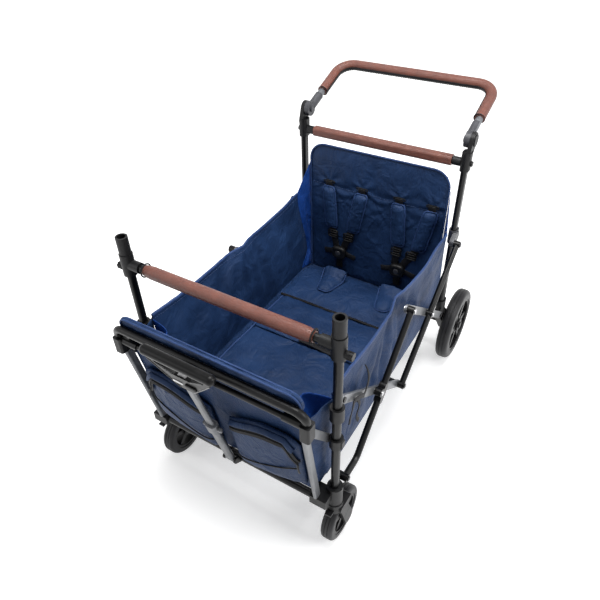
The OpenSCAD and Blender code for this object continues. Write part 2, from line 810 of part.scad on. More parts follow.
module pull_tube_lower() {
    sleeve_s = pull_lower_l - sleeve_l / 2;
    color(GREY) on_stem() difference() {
        union() {
            stem_tube(0, pull_lower_l, pull_lower_w, pull_lower_t);
            rotate([0, 90, 0]) cylinder(r = pull_lower_t / 2, h = pull_lower_w, center = true);
            stem_tube(sleeve_s, sleeve_s + sleeve_l,
                pull_lower_w + 2 * sleeve_wall, pull_lower_t + 2 * sleeve_wall);
            translate([0, sleeve_s + sleeve_l / 2, 0]) rotate([-90, 0, 0])
                linear_extrude(wing_l, center = true) rounded(pull_lower_w + 2 * wing_w, wing_l, wing_r);
        }
        stem_tube(stem_floor, pull_lower_l + sleeve_l,
            pull_lower_w - 2 * tube_wall, pull_lower_t - 2 * tube_wall);
        rotate([0, 90, 0]) cylinder(r = pin_r + run, h = pull_lower_w + 2 * eps, center = true);
    }
}

module pull_tube_upper() {
    color(GREY) on_stem() difference() {
        stem_tube(16, pull_length - yoke_foot, upper_w, upper_t);
        stem_tube(16 - eps, pull_length - yoke_foot + eps, upper_w - 2 * tube_wall, upper_t - 2 * tube_wall);
    }
}

// Grey yoke that spreads from the stem to both ends of the grip bar
module pull_yoke() {
    foot = pull_length - yoke_foot;
    half = pull_grip_w / 2;
    house_w = 44;
    house_top = pull_length - 46;
    color(GREY) on_stem() difference() {
        translate([0, 0, -yoke_t / 2]) linear_extrude(yoke_t) {
            polygon([[-18, foot], [18, foot], [half, pull_length - 18], [half, pull_length],
                [half - 16, pull_length], [half - 20, pull_length - 22], [house_w / 2, house_top],
                [-house_w / 2, house_top], [-half + 20, pull_length - 22], [-half + 16, pull_length],
                [-half, pull_length], [-half, pull_length - 18]]);
        }
        translate([-half - eps, pull_length, 0])
            rotate([0, 90, 0]) cylinder(r = pull_grip_d / 2, h = 2 * half + 2 * eps);
        translate([-pull_button_w / 2 - slip, house_top - pull_button_l, -pull_button_t / 2 - slip])
            cube([pull_button_w + 2 * slip, pull_button_l + eps, pull_button_t + 2 * slip]);
    }
}

module pull_grip() {
    r = pull_grip_d / 2;
    half = pull_grip_w / 2;
    color(BLACK) on_stem() translate([0, pull_length, 0]) {
        translate([-half, 0, 0]) rotate([0, 90, 0]) cylinder(r = r, h = 2 * half);
        for (s = [-1, 1]) translate([s * half, 0, 0]) sphere(r);
    }
}

// Release button in the yoke, pressed towards the stem
module pull_button() {
    house_top = pull_length - 46;
    travel = 4;
    color(PLASTIC) on_stem()
        translate([-pull_button_w / 2, house_top - pull_button_l + travel + slip, -pull_button_t / 2])
            cube([pull_button_w, pull_button_l, pull_button_t]);
}

// Side scissors

// Black tube from the foot pivot, level to a bend, then up to the top pivot, with a saddle for the cross pin
module lower_front_arms() {
    x = arm_tube_x;
    bend_at = front_low + [arm_foot, 0];
    up = unit(mid_high - bend_at);
    side = [-up[1], up[0]];
    offset_l = (front_cross - bend_at) * side;
    on_tube = front_cross - offset_l * side;
    color(BLACK) both() difference() {
        union() {
            bent_tube(x, bent_rings(front_low, arm_foot, mid_high, arm_bend, 6), arm_tube_r, 16);
            for (p = [front_low, mid_high]) rod_x(eye_in, eye_out, p, eye_r);
            plate_x(eye_in, eye_out) {
                web2d(on_tube, arm_tube_r + 4, front_cross, eye_r);
                link2d(on_tube - 18 * up, on_tube + 18 * up, arm_tube_d + 6);
            }
        }
        rod_x(eye_in - eps, eye_out + eps, front_low, pin_r + run);
        for (p = [mid_high, front_cross]) rod_x(eye_in - eps, eye_out + eps, p, pin_r);
    }
}

// Grey flat with round ends and pin holes; the last hole list is of fixed pins
module flat_arm(p, q, running, fixed) {
    plate_x(flat_in, flat_out) difference() {
        link2d(p, q, arm_flat_w);
        for (c = running) translate(c) circle(pin_r + run);
        for (c = fixed) translate(c) circle(pin_r);
    }
}

module upper_front_arms() {
    color(GREY) both() flat_arm(front_high, mid_low, [front_high, front_cross], [mid_low]);
}

module lower_rear_arms() {
    color(GREY) both() flat_arm(mid_high, rear_low, [mid_high, rear_low], [rear_cross]);
}

module upper_rear_arms() {
    color(BLACK) both() difference() {
        union() {
            aim([arm_tube_x, mid_low[0], mid_low[1]],
                [0, rear_high[0] - mid_low[0], rear_high[1] - mid_low[1]])
                cylinder(r = arm_tube_r, h = norm(rear_high - mid_low));
            for (p = [mid_low, rear_high, rear_cross]) rod_x(eye_in, eye_out, p, eye_r);
        }
        for (p = [mid_low, rear_high, rear_cross]) rod_x(eye_in - eps, eye_out + eps, p, pin_r + run);
    }
}

// Pin from x0 to x1 with a head outside
module headed_pin(x0, x1, p) {
    rod_x(x0, x1 + pin_head_t, p, pin_r);
    rod_x(x1, x1 + pin_head_t, p, pin_head_r);
}

// Tube under the floor that ties both sides at the lower middle pivots
module cross_tube() {
    r = 9;
    color(BLACK) {
        difference() {
            rod_x(-flat_in, flat_in, mid_low, r);
            both() rod_x(20, flat_in - 20, mid_low, r - tube_wall);
        }
        both() headed_pin(flat_in, eye_out + slip, mid_low);
    }
}

module front_pivot_pins() {
    color(GREY) both() for (p = [front_cross, mid_high]) {
        headed_pin(flat_in - slip, eye_out, p);
        rod_x(flat_in - slip - pin_head_t, flat_in - slip, p, pin_head_r);
    }
}

module rear_pivot_pins() {
    color(GREY) both() {
        headed_pin(flat_in, eye_out + slip, rear_cross);
        rod_x(flat_in - pin_head_t, flat_in, rear_cross, pin_head_r);
    }
}

// Collars that slide on the posts, with a lug and pin for the arm's end
module front_collars() {
    h = 40;
    top = pivot_high_z + 13;
    lug_out = flat_in - slip;
    color(PLASTIC) both() difference() {
        union() {
            translate([front_x, front_y, top - h]) cylinder(r = collar_r, h = h);
            plate_x(lug_in, lug_out) {
                translate([front_y, front_high[1] - eye_r]) square([pivot_setback, 2 * eye_r]);
                translate(front_high) circle(eye_r);
            }
            headed_pin(lug_in, flat_out + slip, front_high);
        }
        translate([front_x, front_y, top - 2 * h]) cylinder(r = tube_r + slip, h = 3 * h);
    }
}

// Oval outline of a rear post, grown all round
module rear_oval(grow) {
    translate([rear_x, rear_y])
        rounded(rear_post_w + 2 * grow, rear_post_l + 2 * grow, rear_post_w / 2 + grow - 0.01);
}

module rear_collars() {
    h = 46;
    top = pivot_high_z + 30;
    lug_out = eye_in - slip;
    color(GREY) both() difference() {
        union() {
            translate([0, 0, top - h]) linear_extrude(h) rear_oval(post_fit);
            plate_x(lug_in, lug_out) {
                web2d(rear_high, eye_r, [rear_y - 8, pivot_high_z + 10], 18);
            }
            headed_pin(lug_in, eye_out + slip, rear_high);
        }
        translate([0, 0, top - 2 * h]) linear_extrude(3 * h) rear_oval(slip);
    }
}

// Rear frame

module rear_posts() {
    color(BLACK) both() translate([0, 0, rear_post_bottom_z])
        linear_extrude(rear_post_top_z - rear_post_bottom_z)
        difference() {
            rear_oval(0);
            rear_oval(-tube_wall);
        }
}

rear_bar_half = rear_x - rear_post_w / 2 - post_fit;
rear_socket_l = 24;

module rear_bar() {
    color(BLACK) difference() {
        rod_x(-rear_bar_half, rear_bar_half, [rear_y, rear_bar_z], bar_tube_d / 2);
        rod_x(-rear_bar_half - eps, rear_bar_half + eps, [rear_y, rear_bar_z], bar_tube_d / 2 - tube_wall);
    }
}

// Squarer leather wrap of the rear bar
module rear_bar_grip() {
    half = rear_bar_half - rear_socket_l - 2;
    color(LEATHER) difference() {
        plate_x(-half, half) translate([rear_y, rear_bar_z]) rounded(rear_grip_w, rear_grip_w, 10);
        rod_x(-half - eps, half + eps, [rear_y, rear_bar_z], bar_tube_d / 2);
    }
}

// Clamps of the rear bar and the hinge bases of the push handle
module rear_fittings() {
    clamp_half = 22;
    base_bottom_z = rear_bar_z + clamp_half - eps;
    plate_in = knuckle_out_x + slip;
    pivot = [handle_pivot_y, handle_pivot_z];
    color(PLASTIC) both() {
        difference() {
            union() {
                translate([0, 0, rear_bar_z - clamp_half])
                    linear_extrude(2 * clamp_half) rear_oval(post_fit);
                rod_x(rear_bar_half - rear_socket_l, rear_bar_half, [rear_y, rear_bar_z],
                    bar_tube_d / 2 + 3);
                rod_x(rear_x, rear_x + rear_post_w / 2 + post_fit + 6, [rear_y, rear_bar_z], 8);
            }
            translate([0, 0, rear_bar_z - 2 * clamp_half]) linear_extrude(4 * clamp_half) rear_oval(0);
            rod_x(rear_bar_half - 60, rear_bar_half, [rear_y, rear_bar_z], bar_tube_d / 2);
        }
        difference() {
            union() {
                translate([0, 0, base_bottom_z]) linear_extrude(rear_post_top_z + 6 - base_bottom_z)
                    rear_oval(post_fit);
                plate_x(plate_in, plate_in + hinge_plate_t)
                    web2d([rear_y, rear_post_top_z], 16, pivot, knuckle_r);
                rod_x(knuckle_in_x + 6, plate_in + hinge_plate_t + 3, pivot, hinge_pin_r);
                rod_x(plate_in, plate_in + hinge_plate_t + 3, pivot, knuckle_r - 6);
            }
            translate([0, 0, rear_post_bottom_z])
                linear_extrude(rear_post_top_z - rear_post_bottom_z) rear_oval(0);
            rod_x(knuckle_in_x - 30, knuckle_out_x + slip, [handle_pivot_y, handle_pivot_z],
                hinge_pin_r - 2);
        }
    }
}

// Plastic legs from the rear posts back to the axle, with the lug of the lower rear arm and the axle pin
module rear_legs() {
    hub = [rear_axle_y, rear_axle_z];
    socket_top_z = 306;
    knee = [rear_y, rear_post_bottom_z - 10];
    pocket_r = 12;
    color(PLASTIC) both() difference() {
        union() {
            translate([0, 0, rear_post_bottom_z - 14]) linear_extrude(socket_top_z - rear_post_bottom_z + 14)
                rear_oval(post_fit);
            plate_x(leg_in_x, leg_out_x) web2d(knee, 22, hub, 30);
            plate_x(bridge_in, bridge_out)
                translate([rear_y - bridge_l / 2, knee[1] - leg_rib]) square([bridge_l, bridge_h]);
            plate_x(lug_in, flat_in - slip) web2d(rear_low, eye_r, knee + [0, 12], 16);
            rod_x(leg_in_x - leg_rib, wheel_in - 0.5, hub, 22);
            rod_x(leg_in_x - leg_rib, rear_wheel_x + rear_wheel_w / 2 + 2, hub, rear_axle_d / 2);
            rod_x(rear_wheel_x + rear_wheel_w / 2 + 0.5, rear_wheel_x + rear_wheel_w / 2 + 4, hub, 13);
            headed_pin(flat_in - eps, flat_out + slip, rear_low);
        }
        translate([0, 0, rear_post_bottom_z]) linear_extrude(rear_post_top_z) rear_oval(0);
        for (t = [0.24, 0.52]) plate_x(leg_in_x - eps, leg_in_x + 7)
            link2d(knee + t * (hub - knee), knee + (t + 0.12) * (hub - knee), 2 * pocket_r);
    }
}

module rear_axle() {
    hub = [rear_axle_y, rear_axle_z];
    axle_half = leg_in_x - leg_rib;
    color(BLACK) difference() {
        rod_x(-axle_half, axle_half, hub, axle_tube_r);
        rod_x(-axle_half - eps, axle_half + eps, hub, axle_tube_r - tube_wall);
    }
}

// Brake pedal: a sleeve that turns on the axle tube and a ribbed foot plate behind it
module brake_pedal() {
    hub = [rear_axle_y, rear_axle_z];
    tip = hub + [pedal_l, -pedal_drop];
    ribs = 4;
    color(PLASTIC) difference() {
        union() {
            rod_x(pedal_x, pedal_x + pedal_w, hub, axle_tube_r + 5);
            plate_x(pedal_x, pedal_x + pedal_w) web2d(hub, 9, tip, 4);
            for (i = [1 : ribs]) rod_x(pedal_x, pedal_x + pedal_w,
                hub + (0.4 + 0.14 * i) * (tip - hub) + [0, 6], 3);
        }
        rod_x(pedal_x - eps, pedal_x + pedal_w + eps, hub, axle_tube_r + run);
    }
}

// Push handle

// Frame with Y along the handle from its pivots and X across
module along_handle() {
    translate([0, handle_pivot_y, handle_pivot_z]) rotate([handle_tilt, 0, 0]) children();
}

// Bent tube with legs that start d from the pivots
module handle_run(d, r, bore) {
    along_handle() translate([0, d, 0]) u_tube(handle_x, handle_reach - d, handle_bend, r, bore);
}

module push_handle() {
    color(GREY) handle_run(tube_start, handle_r, handle_r - tube_wall);
}

module push_grip() {
    color(LEATHER) handle_run(handle_bare, handle_grip_d / 2, handle_r);
}

// Knuckles that turn on the hinge bases and carry the handle tube in a socket
module handle_knuckles() {
    pivot = [handle_pivot_y, handle_pivot_z];
    color(PLASTIC) both() difference() {
        union() {
            rod_x(knuckle_in_x, knuckle_out_x, pivot, knuckle_r);
            along_handle() translate([handle_x, 0, 0])
                rotate([-90, 0, 0]) cylinder(r = socket_r, h = socket_end);
        }
        translate([knuckle_out_x, -post_spacing, 0]) cube([60, 3 * post_spacing, 2 * handle_pivot_z]);
        along_handle() translate([handle_x, tube_start, 0])
            rotate([-90, 0, 0]) cylinder(r = handle_r, h = socket_end);
        rod_x(knuckle_in_x - eps, knuckle_out_x + eps, pivot, hinge_pin_r + run);
        rod_x(knuckle_in_x - socket_r, knuckle_in_x + 6, pivot, button_r + run);
    }
}

// Release button on the inner face of a knuckle
module handle_button(side) {
    pivot = [handle_pivot_y, handle_pivot_z];
    color(GREY) on_side(side) {
        rod_x(knuckle_in_x - button_out, knuckle_in_x + 1, pivot, button_r);
        rod_x(knuckle_in_x + 0.5, knuckle_in_x + button_l, pivot, hinge_pin_r - 2 - run);
    }
}

// Soft goods

// Height of the tub's side edge, which rises a little towards the rear
function side_top(y) = side_top_z + 12 * ease(y, 0, rear_y);

side_low_z = tub_floor_z + slip;
side_front_y = front_y + 14;
side_back_y = soft_back_y - backrest_t - 40;

// Folds that fan out from the upper pivots to the floor
function side_fold(u, v) = 3 * sin(360 * (5 * u + 0.35 * v)) * pow(sin(180 * min(1, v * 1.02)), 2);

// Inner face of a side panel from the centre plane
function side_x(u, v) = tub_half_w + side_bulge * sin(90 * v) + side_fold(u, v) - 3 * sin(180 * v);

// Share of the side panel's height at Y and Z
function side_v(y, z) = (z - side_low_z) / (side_top(y) - side_low_z);

function side_point(u, v, out) = let (
    y = side_front_y + u * (side_back_y - side_front_y))
    [side_x(u, v) + out * cloth_t, y, side_low_z + v * (side_top(y) - side_low_z)];

module tub_side(side) {
    color(NAVY) on_side(side)
        slab(26, 8, function(u, v) side_point(u, v, 1), function(u, v) side_point(u, v, 0));
}

module tub_floor() {
    t = cloth_t - 0.5;
    front = mat_front_y - 4;
    color(NAVY) translate([-tub_half_w - cloth_t / 3, front, tub_floor_z - t])
        cube([2 * (tub_half_w + cloth_t / 3), soft_back_y - front, t]);
}

// One padded section of the floor mat between two Y values
module mat_section(y0, y1) {
    slab(10, 10,
        function(u, v) [(2 * u - 1) * mat_half_w, y0 + v * (y1 - y0),
            mat_z + 5 + (mat_t - 5) * crown(u, v) - 1.5 * crown(u, v) * channel(u, 0.5, 0.04)],
        function(u, v) [(2 * u - 1) * mat_half_w, y0 + v * (y1 - y0), mat_z]);
}

module floor_mat() {
    color(NAVY) {
        mat_section(mat_front_y, seam_mid_y - seam_gap / 2);
        mat_section(seam_mid_y + seam_gap / 2, seam_seat_y - seam_gap / 2);
        mat_section(seam_seat_y + seam_gap / 2, mat_back_y);
    }
}

// Half width of the backrest at a height, with round upper corners
function back_edge(z) = let (h = max(0, z - (backrest_top_z - corner_r)))
    back_half_w - corner_r + sqrt(max(0, corner_r * corner_r - h * h));

back_low_z = mat_z + 0.5;

function back_point(u, v, depth) = let (z = back_low_z + v * (backrest_top_z - back_low_z))
    [(2 * u - 1) * back_edge(z), soft_back_y - depth, z];

// Thickness of the backrest over its face, with a sewn channel up the middle and one across
function back_depth(u, v) = 6 + (backrest_t - 6) * crown(u, v)
    * (1 - 0.3 * channel(u, 0.5, 0.03)) * (1 - 0.25 * channel(v, 0.72, 0.02));

// Face of the backrest at X and Z, for what lies on it
function back_face(x, z) = soft_back_y - slip
    - back_depth(0.5 + x / back_edge(z) / 2, (z - back_low_z) / (backrest_top_z - back_low_z));

module backrest() {
    color(NAVY) slab(20, 18,
        function(u, v) back_point(u, v, back_depth(u, v)),
        function(u, v) back_point(u, v, 0));
}

panel_low_z = panel_foot_z + 14;
panel_rise = 37;
panel_top_z = hoop_z + panel_rise;
panel_flare = 12;
panel_round = 26;
// The panel lies flat against the hoop above this height
panel_flat_z = hoop_z - 30;
panel_t = 8;
panel_pad = 8;

// Half width of the front panel, which spreads above the hinge blocks and has round upper corners
function panel_half(z) = let (h = max(0, z - (panel_top_z - panel_round)))
    front_half_w + panel_flare * ease(z, block_top_z, hoop_z) - panel_round
        + sqrt(max(0, panel_round * panel_round - h * h));

// Heights of the panel's rows, closer together towards its padded top edge
function panel_z(v) = panel_low_z + (panel_top_z - panel_low_z) * (1 - pow(1 - v, 1.7));

// Slack of the cloth between the beam and the hoop
function panel_slack(u, z) = 3 * sin(180 * min(1, (z - panel_low_z) / (panel_flat_z - panel_low_z)))
    * pow(sin(720 * u), 2);

// Front panel, padded along its top edge
module front_panel() {
    color(NAVY) slab(16, 14,
        function(u, v) let (z = panel_z(v))
            [(2 * u - 1) * panel_half(z), panel_y(z) + panel_slack(u, z), z],
        function(u, v) let (z = panel_z(v), depth = panel_t + panel_pad * ease(z, panel_flat_z, hoop_z))
            [(2 * u - 1) * panel_half(z), panel_y(z) + depth, z]);
}

// Zip pocket with a bulging face that leans with the panel
module pocket(x) {
    slab(10, 8,
        function(u, v) let (z = pocket_z + v * pocket_h)
            [x + (u - 0.5) * pocket_w, panel_y(z) - 5 - (pocket_t - 5) * crown(u, v) * (1 - 0.25 * v), z],
        function(u, v) let (z = pocket_z + v * pocket_h) [x + (u - 0.5) * pocket_w, panel_y(z) - slip, z]);
}

module front_pockets() {
    color(NAVY) for (s = [-1, 1]) pocket(s * pocket_x);
}

// Light nylon gussets that close the corners between the side panels, the front panel and the backrest
module corner_gussets() {
    color(BLUE) both() {
        slab(8, 6,
            function(u, v) gusset_front(u, v, 2),
            function(u, v) gusset_front(u, v, 0));
        slab(8, 6,
            function(u, v) gusset_rear(u, v, 0),
            function(u, v) gusset_rear(u, v, 2));
    }
}

// From the front panel's edge (u = 0) to the front of the side panel (u = 1)
function gusset_front(u, v, t) = let (
    z = tub_floor_z + 8 + v * (side_top_z - 24 - tub_floor_z),
    y0 = panel_y(z) + 3,
    y1 = side_front_y - slip,
    x0 = front_half_w + slip,
    x1 = side_x(0, side_v(side_front_y, z)))
    [x0 + u * (x1 - x0) + 4 * sin(180 * u) * v + t, y0 + u * (y1 - y0), z - 14 * sin(180 * u) * v];

// Drop of the rear gussets' peaks below the top of the backrest
gusset_drop = 65;

// From the backrest's edge (u = 0) to the rear end of the side panel (u = 1)
function gusset_rear(u, v, t) = let (
    low = tub_floor_z + 8,
    peak = backrest_top_z - gusset_drop,
    top = peak + u * (side_top(side_back_y) - 2 - peak),
    z = low + v * (top - low),
    x0 = back_edge(z) + slip,
    x1 = side_x(1, side_v(side_back_y, z)),
    y0 = soft_back_y - 3,
    y1 = side_back_y + slip)
    [x0 + u * (x1 - x0) + t, y0 + u * (y1 - y0), z];

// Pad or strap on the backrest's face from its foot [x, z] to its top, w wide and t thick,
// crowned from its rim
module on_back(foot, top, w, nu, nv, rim, t) {
    slab(nu, nv,
        function(u, v) let (q = foot + v * (top - foot) + [(u - 0.5) * w, 0])
            [q[0], back_face(q[0], q[1]) - rim - (t - rim) * crown(u, v), q[1]],
        function(u, v) let (q = foot + v * (top - foot) + [(u - 0.5) * w, 0])
            [q[0], back_face(q[0], q[1]), q[1]]);
}

// Shoulder pads on the backrest and tongue-shaped crotch pads on the seat
module harness_pads() {
    color(NAVY) {
        for (i = [0 : len(shoulder_tops) - 1])
            on_back([shoulder_feet[i], shoulder_z], [shoulder_tops[i], shoulder_z + shoulder_l],
                shoulder_w, 6, 10, 4, shoulder_t);
        for (x = crotch_xs) slab(8, 12,
            function(u, v) crotch_point(x, u, v, 4 + 16 * crown(u, v)),
            function(u, v) crotch_point(x, u, v, 0));
    }
}

crotch_l = 112;
crotch_y = 243;
crotch_lift = 30;

// Tongue that widens from its round tip to the backrest and turns up there
function crotch_point(x, u, v, h) = let (
    tip = sqrt(1 - pow(1 - min(1, v / 0.2), 2)),
    w = 16 + 44 * tip + 34 * ease(v, 0.1, 0.8))
    [x + (u - 0.5) * w, crotch_y + v * crotch_l,
        mat_top_z + slip + crotch_lift * pow(ease(v, 0.55, 1), 2) + h];

// Webbing: shoulder straps from the slots in the backrest to the pads, and from the pads down to the buckles
module harness_webbing() {
    pad_top = shoulder_z + shoulder_l + slip;
    color(BLACK) for (i = [0 : len(shoulder_tops) - 1]) {
        x = shoulder_feet[i];
        buckle_x = crotch_xs[floor(i / 2)];
        on_back([shoulder_tops[i], pad_top], [shoulder_tops[i], slot_z], webbing_w, 2, 2,
            webbing_t, webbing_t);
        on_back([buckle_x + (i % 2 - 0.5) * (webbing_w + 2), buckle_z + buckle_h / 2 + slip],
            [x, shoulder_z - slip],
            webbing_w, 2, 6, webbing_t, webbing_t);
    }
}

buckle_z = 390;
buckle_w = 54;
buckle_h = 50;
buckle_t = 20;

// Buckles above the crotch pads
module harness_buckles() {
    color(PLASTIC) for (x = crotch_xs) {
        face = min([for (dx = [-0.5, 0, 0.5], dz = [-0.5, 0, 0.5])
            back_face(x + dx * buckle_w, buckle_z + dz * buckle_h)]);
        translate([x, face - buckle_t, buckle_z]) rotate([-90, 0, 0])
            linear_extrude(buckle_t) rounded(buckle_w, buckle_h, 12);
    }
}

place() front_posts();
place() front_bar();
place() front_bar_grip();
place() post_fittings();
place() front_knob(-1);  // front_knob_left
place() front_knob(1);  // front_knob_right
place() caster_housings();
place() front_beam();
place() front_stays();
place() hoop_blocks();
place() front_hoop();
place() front_panel();
place() front_pockets();
place() tub_side(-1);  // tub_side_left
place() tub_side(1);  // tub_side_right
place() tub_floor();
place() floor_mat();
place() corner_gussets();
place() caster_fork(-1);  // caster_fork_left
place() caster_fork(1);  // caster_fork_right
place() caster_lock(-1);  // caster_lock_left
place() caster_lock(1);  // caster_lock_right
place() caster_hub(-1);  // caster_hub_left
place() caster_hub(1);  // caster_hub_right
place() caster_tyre(-1);  // caster_tyre_left
place() caster_tyre(1);  // caster_tyre_right
place() pull_tube_lower();
place() pull_tube_upper();
place() pull_yoke();
place() pull_grip();
place() pull_button();
place() lower_front_arms();
place() upper_front_arms();
place() upper_rear_arms();
place() lower_rear_arms();
place() cross_tube();
place() front_pivot_pins();
place() rear_pivot_pins();
place() front_collars();
place() rear_collars();
place() rear_posts();
place() rear_bar();
place() rear_bar_grip();
place() rear_fittings();
place() rear_legs();
place() rear_axle();
place() brake_pedal();
place() rear_hub(-1);  // rear_hub_left
place() rear_hub(1);  // rear_hub_right
place() rear_tyre(-1);  // rear_tyre_left
place() rear_tyre(1);  // rear_tyre_right
place() handle_knuckles();
place() push_handle();
place() push_grip();
place() handle_button(-1);  // handle_button_left
place() handle_button(1);  // handle_button_right
place() backrest();
place() harness_pads();
place() harness_webbing();
place() harness_buckles();
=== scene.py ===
# %% [markdown]
# # Dressing a folding stroller wagon
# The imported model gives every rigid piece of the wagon: posts, bars, scissor arms, casters, wheels and
# handles. This lesson keeps those pieces, gives each one a worked finish, and makes the soft goods afresh:
# the tub, the mats, the padded back, the harness, the pockets and all straps.
# Lengths in the code are millimetres about the middle between the posts, as a maker would measure them.

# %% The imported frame
import json
import math

import bmesh
import bpy
import numpy as np
from mathutils import Matrix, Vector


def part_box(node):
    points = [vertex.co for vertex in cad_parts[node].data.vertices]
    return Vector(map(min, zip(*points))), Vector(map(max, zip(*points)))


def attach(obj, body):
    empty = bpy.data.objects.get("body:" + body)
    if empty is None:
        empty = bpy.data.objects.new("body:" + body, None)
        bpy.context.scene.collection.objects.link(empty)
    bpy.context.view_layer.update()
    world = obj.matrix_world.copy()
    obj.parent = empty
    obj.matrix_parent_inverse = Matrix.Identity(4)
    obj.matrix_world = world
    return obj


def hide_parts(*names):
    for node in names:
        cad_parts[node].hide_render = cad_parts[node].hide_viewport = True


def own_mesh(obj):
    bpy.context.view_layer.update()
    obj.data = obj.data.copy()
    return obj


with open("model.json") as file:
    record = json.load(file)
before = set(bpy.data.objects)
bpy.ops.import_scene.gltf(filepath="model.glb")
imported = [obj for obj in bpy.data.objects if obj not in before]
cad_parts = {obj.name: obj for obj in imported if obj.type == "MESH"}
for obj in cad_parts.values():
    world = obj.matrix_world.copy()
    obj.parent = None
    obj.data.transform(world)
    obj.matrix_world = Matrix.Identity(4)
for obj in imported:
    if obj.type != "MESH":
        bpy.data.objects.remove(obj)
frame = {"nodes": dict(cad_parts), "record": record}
SCENE = bpy.context.scene
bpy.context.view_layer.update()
CAD = frame["nodes"]

# %% [markdown]
# ## Tools for surfaces
# Each new piece is a surface over a grid of two parameters, or a profile carried along a path. Both are
# worked out as whole arrays, so a shape is one formula and its fineness is only the size of the grid.

# %% Grids
Y_SHIFT = -38.5315


def rows(points):
    """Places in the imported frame, in metres: (x, y + Y_SHIFT, z) / 1000."""
    return (np.asarray(points, float) + [0, Y_SHIFT, 0]) / 1000


def grid_quads(nu, nv, wrap=False):
    """Quads (i, j), (i+1, j), (i+1, j+1), (i, j+1) of a grid; wrap joins the last column to the first."""
    i, j = np.meshgrid(np.arange(nu if wrap else nu - 1), np.arange(nv - 1))
    k = (i + 1) % nu
    return np.stack([j * nu + i, j * nu + k, (j + 1) * nu + k, (j + 1) * nu + i], -1).reshape(-1, 4)


def xyz(x, y, z):
    """Points from three coordinates, each an array or one number for all points."""
    return np.stack(np.broadcast_arrays(x, y, z), -1)


def span(nu, nv, across=(0, 1), along=(0, 1)):
    """Grid of two parameters: nu values over the range across and nv values over the range along."""
    return np.meshgrid(np.linspace(*across, nu), np.linspace(*along, nv))


def unit(v):
    """Vectors of length 1: v / |v|."""
    return v / np.maximum(np.linalg.norm(v, axis=-1, keepdims=True), 1e-9)


def run_length(path):
    """Length along a polyline up to each of its points."""
    return np.r_[0, np.cumsum(np.linalg.norm(np.diff(path, axis=0), axis=1))]


def tube_faces(m, n, first=0):
    """Faces of n rings of m points each, with a flat cap at both ends; first is the number of the first point."""
    caps = [list(range(first + k, first + k + m)) for k in (0, (n - 1) * m)]
    return (grid_quads(m, n, wrap=True) + first).tolist() + caps


def grid_normals(P):
    """Unit normals of a grid: cross product of its two differences."""
    return unit(np.cross(np.gradient(P, axis=1), np.gradient(P, axis=0)))


def arc_uv(P):
    """UV in metres: running length along the middle row, and along the middle column."""
    nv, nu = P.shape[:2]
    return np.stack(np.meshgrid(run_length(P[nv // 2]), run_length(P[:, nu // 2])), -1) / 1000


print("grid tools ready")

# %% [markdown]
# A new piece is a mesh object that rides on one body and carries a finish. A slab is
# closed between two grids, and a sheet of cloth is a slab whose second grid is the first one set back.

# %% Pieces, slabs and sheets
def set_uv(mesh, uv):
    """Write the UV map named cloth from one UV, in metres, for each vertex."""
    layer = mesh.uv_layers.get("cloth") or mesh.uv_layers.new(name="cloth")
    corner = np.empty(len(mesh.loops), int)
    mesh.loops.foreach_get("vertex_index", corner)
    layer.data.foreach_set("uv", np.asarray(uv, float)[corner].ravel())


def shade_smooth(mesh):
    """Smooth shading on every face."""
    mesh.polygons.foreach_set("use_smooth", np.ones(len(mesh.polygons), bool))


def add_object(name, data, axes=None, place=None):
    """Object linked to the scene; a camera or a light also gets its three axes and its place in metres."""
    made = bpy.data.objects.new(name, data)
    if axes is not None:
        matrix = np.eye(4)
        matrix[:3, :3] = np.stack(axes, 1)
        matrix[:3, 3] = place
        made.matrix_world = Matrix(matrix.tolist())
    SCENE.collection.objects.link(made)
    return made


def make_piece(name, points, faces, body, finish, uv=None):
    """Mesh object from points (mm) and faces, with outward normals, smooth shading and an optional UV map."""
    mesh = bpy.data.meshes.new(name)
    mesh.from_pydata(rows(points).tolist(), [], [list(map(int, f)) for f in faces])
    edit = bmesh.new()
    edit.from_mesh(mesh)
    bmesh.ops.recalc_face_normals(edit, faces=edit.faces)
    edit.to_mesh(mesh)
    edit.free()
    if uv is not None:
        set_uv(mesh, uv)
    shade_smooth(mesh)
    mesh.materials.append(finish)
    piece = add_object(name, mesh)
    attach(piece, body)
    return piece


def slab_piece(name, front, back, body, finish, slot):
    """Closed slab between a front and a back grid of the same size, with quads round its four edges."""
    nv, nu = front.shape[:2]
    n = nu * nv
    face = grid_quads(nu, nv)
    index = np.arange(n).reshape(nv, nu)
    rim = np.r_[index[0, :-1], index[:-1, -1], index[-1, :0:-1], index[:0:-1, 0]]
    after = np.roll(rim, -1)
    edge = np.stack([rim, after, after + n, rim + n], -1)
    uv = arc_uv(front).reshape(-1, 2)
    return make_piece(name, np.r_[front.reshape(-1, 3), back.reshape(-1, 3)],
                      np.r_[face, face[:, ::-1] + n, edge[:, ::-1]], body, finish, np.r_[uv, uv])


def cloth_piece(name, P, thick, body, finish, slot):
    """Sheet of cloth: the grid P and the same grid set back by thick along its normals."""
    return slab_piece(name, P, P - thick * grid_normals(P), body, finish, slot)


print("slab tools ready")

# %% [markdown]
# Cords, straps and hems are a profile carried along a path. At each station the profile is set across the
# path and upright to a given direction.

# %% Swept profiles
def swept_points(path, profile, up, closed=False):
    """Profile points (across, up) carried along a path: p + side * across + up' * upward."""
    path = np.asarray(path, float)
    along = unit(np.roll(path, -1, 0) - np.roll(path, 1, 0) if closed else np.gradient(path, axis=0))
    side = unit(np.cross(along, np.broadcast_to(np.asarray(up, float), path.shape)))
    lift = np.cross(side, along)
    profile = np.asarray(profile, float)
    if profile.ndim == 2:
        profile = np.broadcast_to(profile, (len(path),) + profile.shape)
    return path[:, None] + side[:, None] * profile[..., :1] + lift[:, None] * profile[..., 1:]


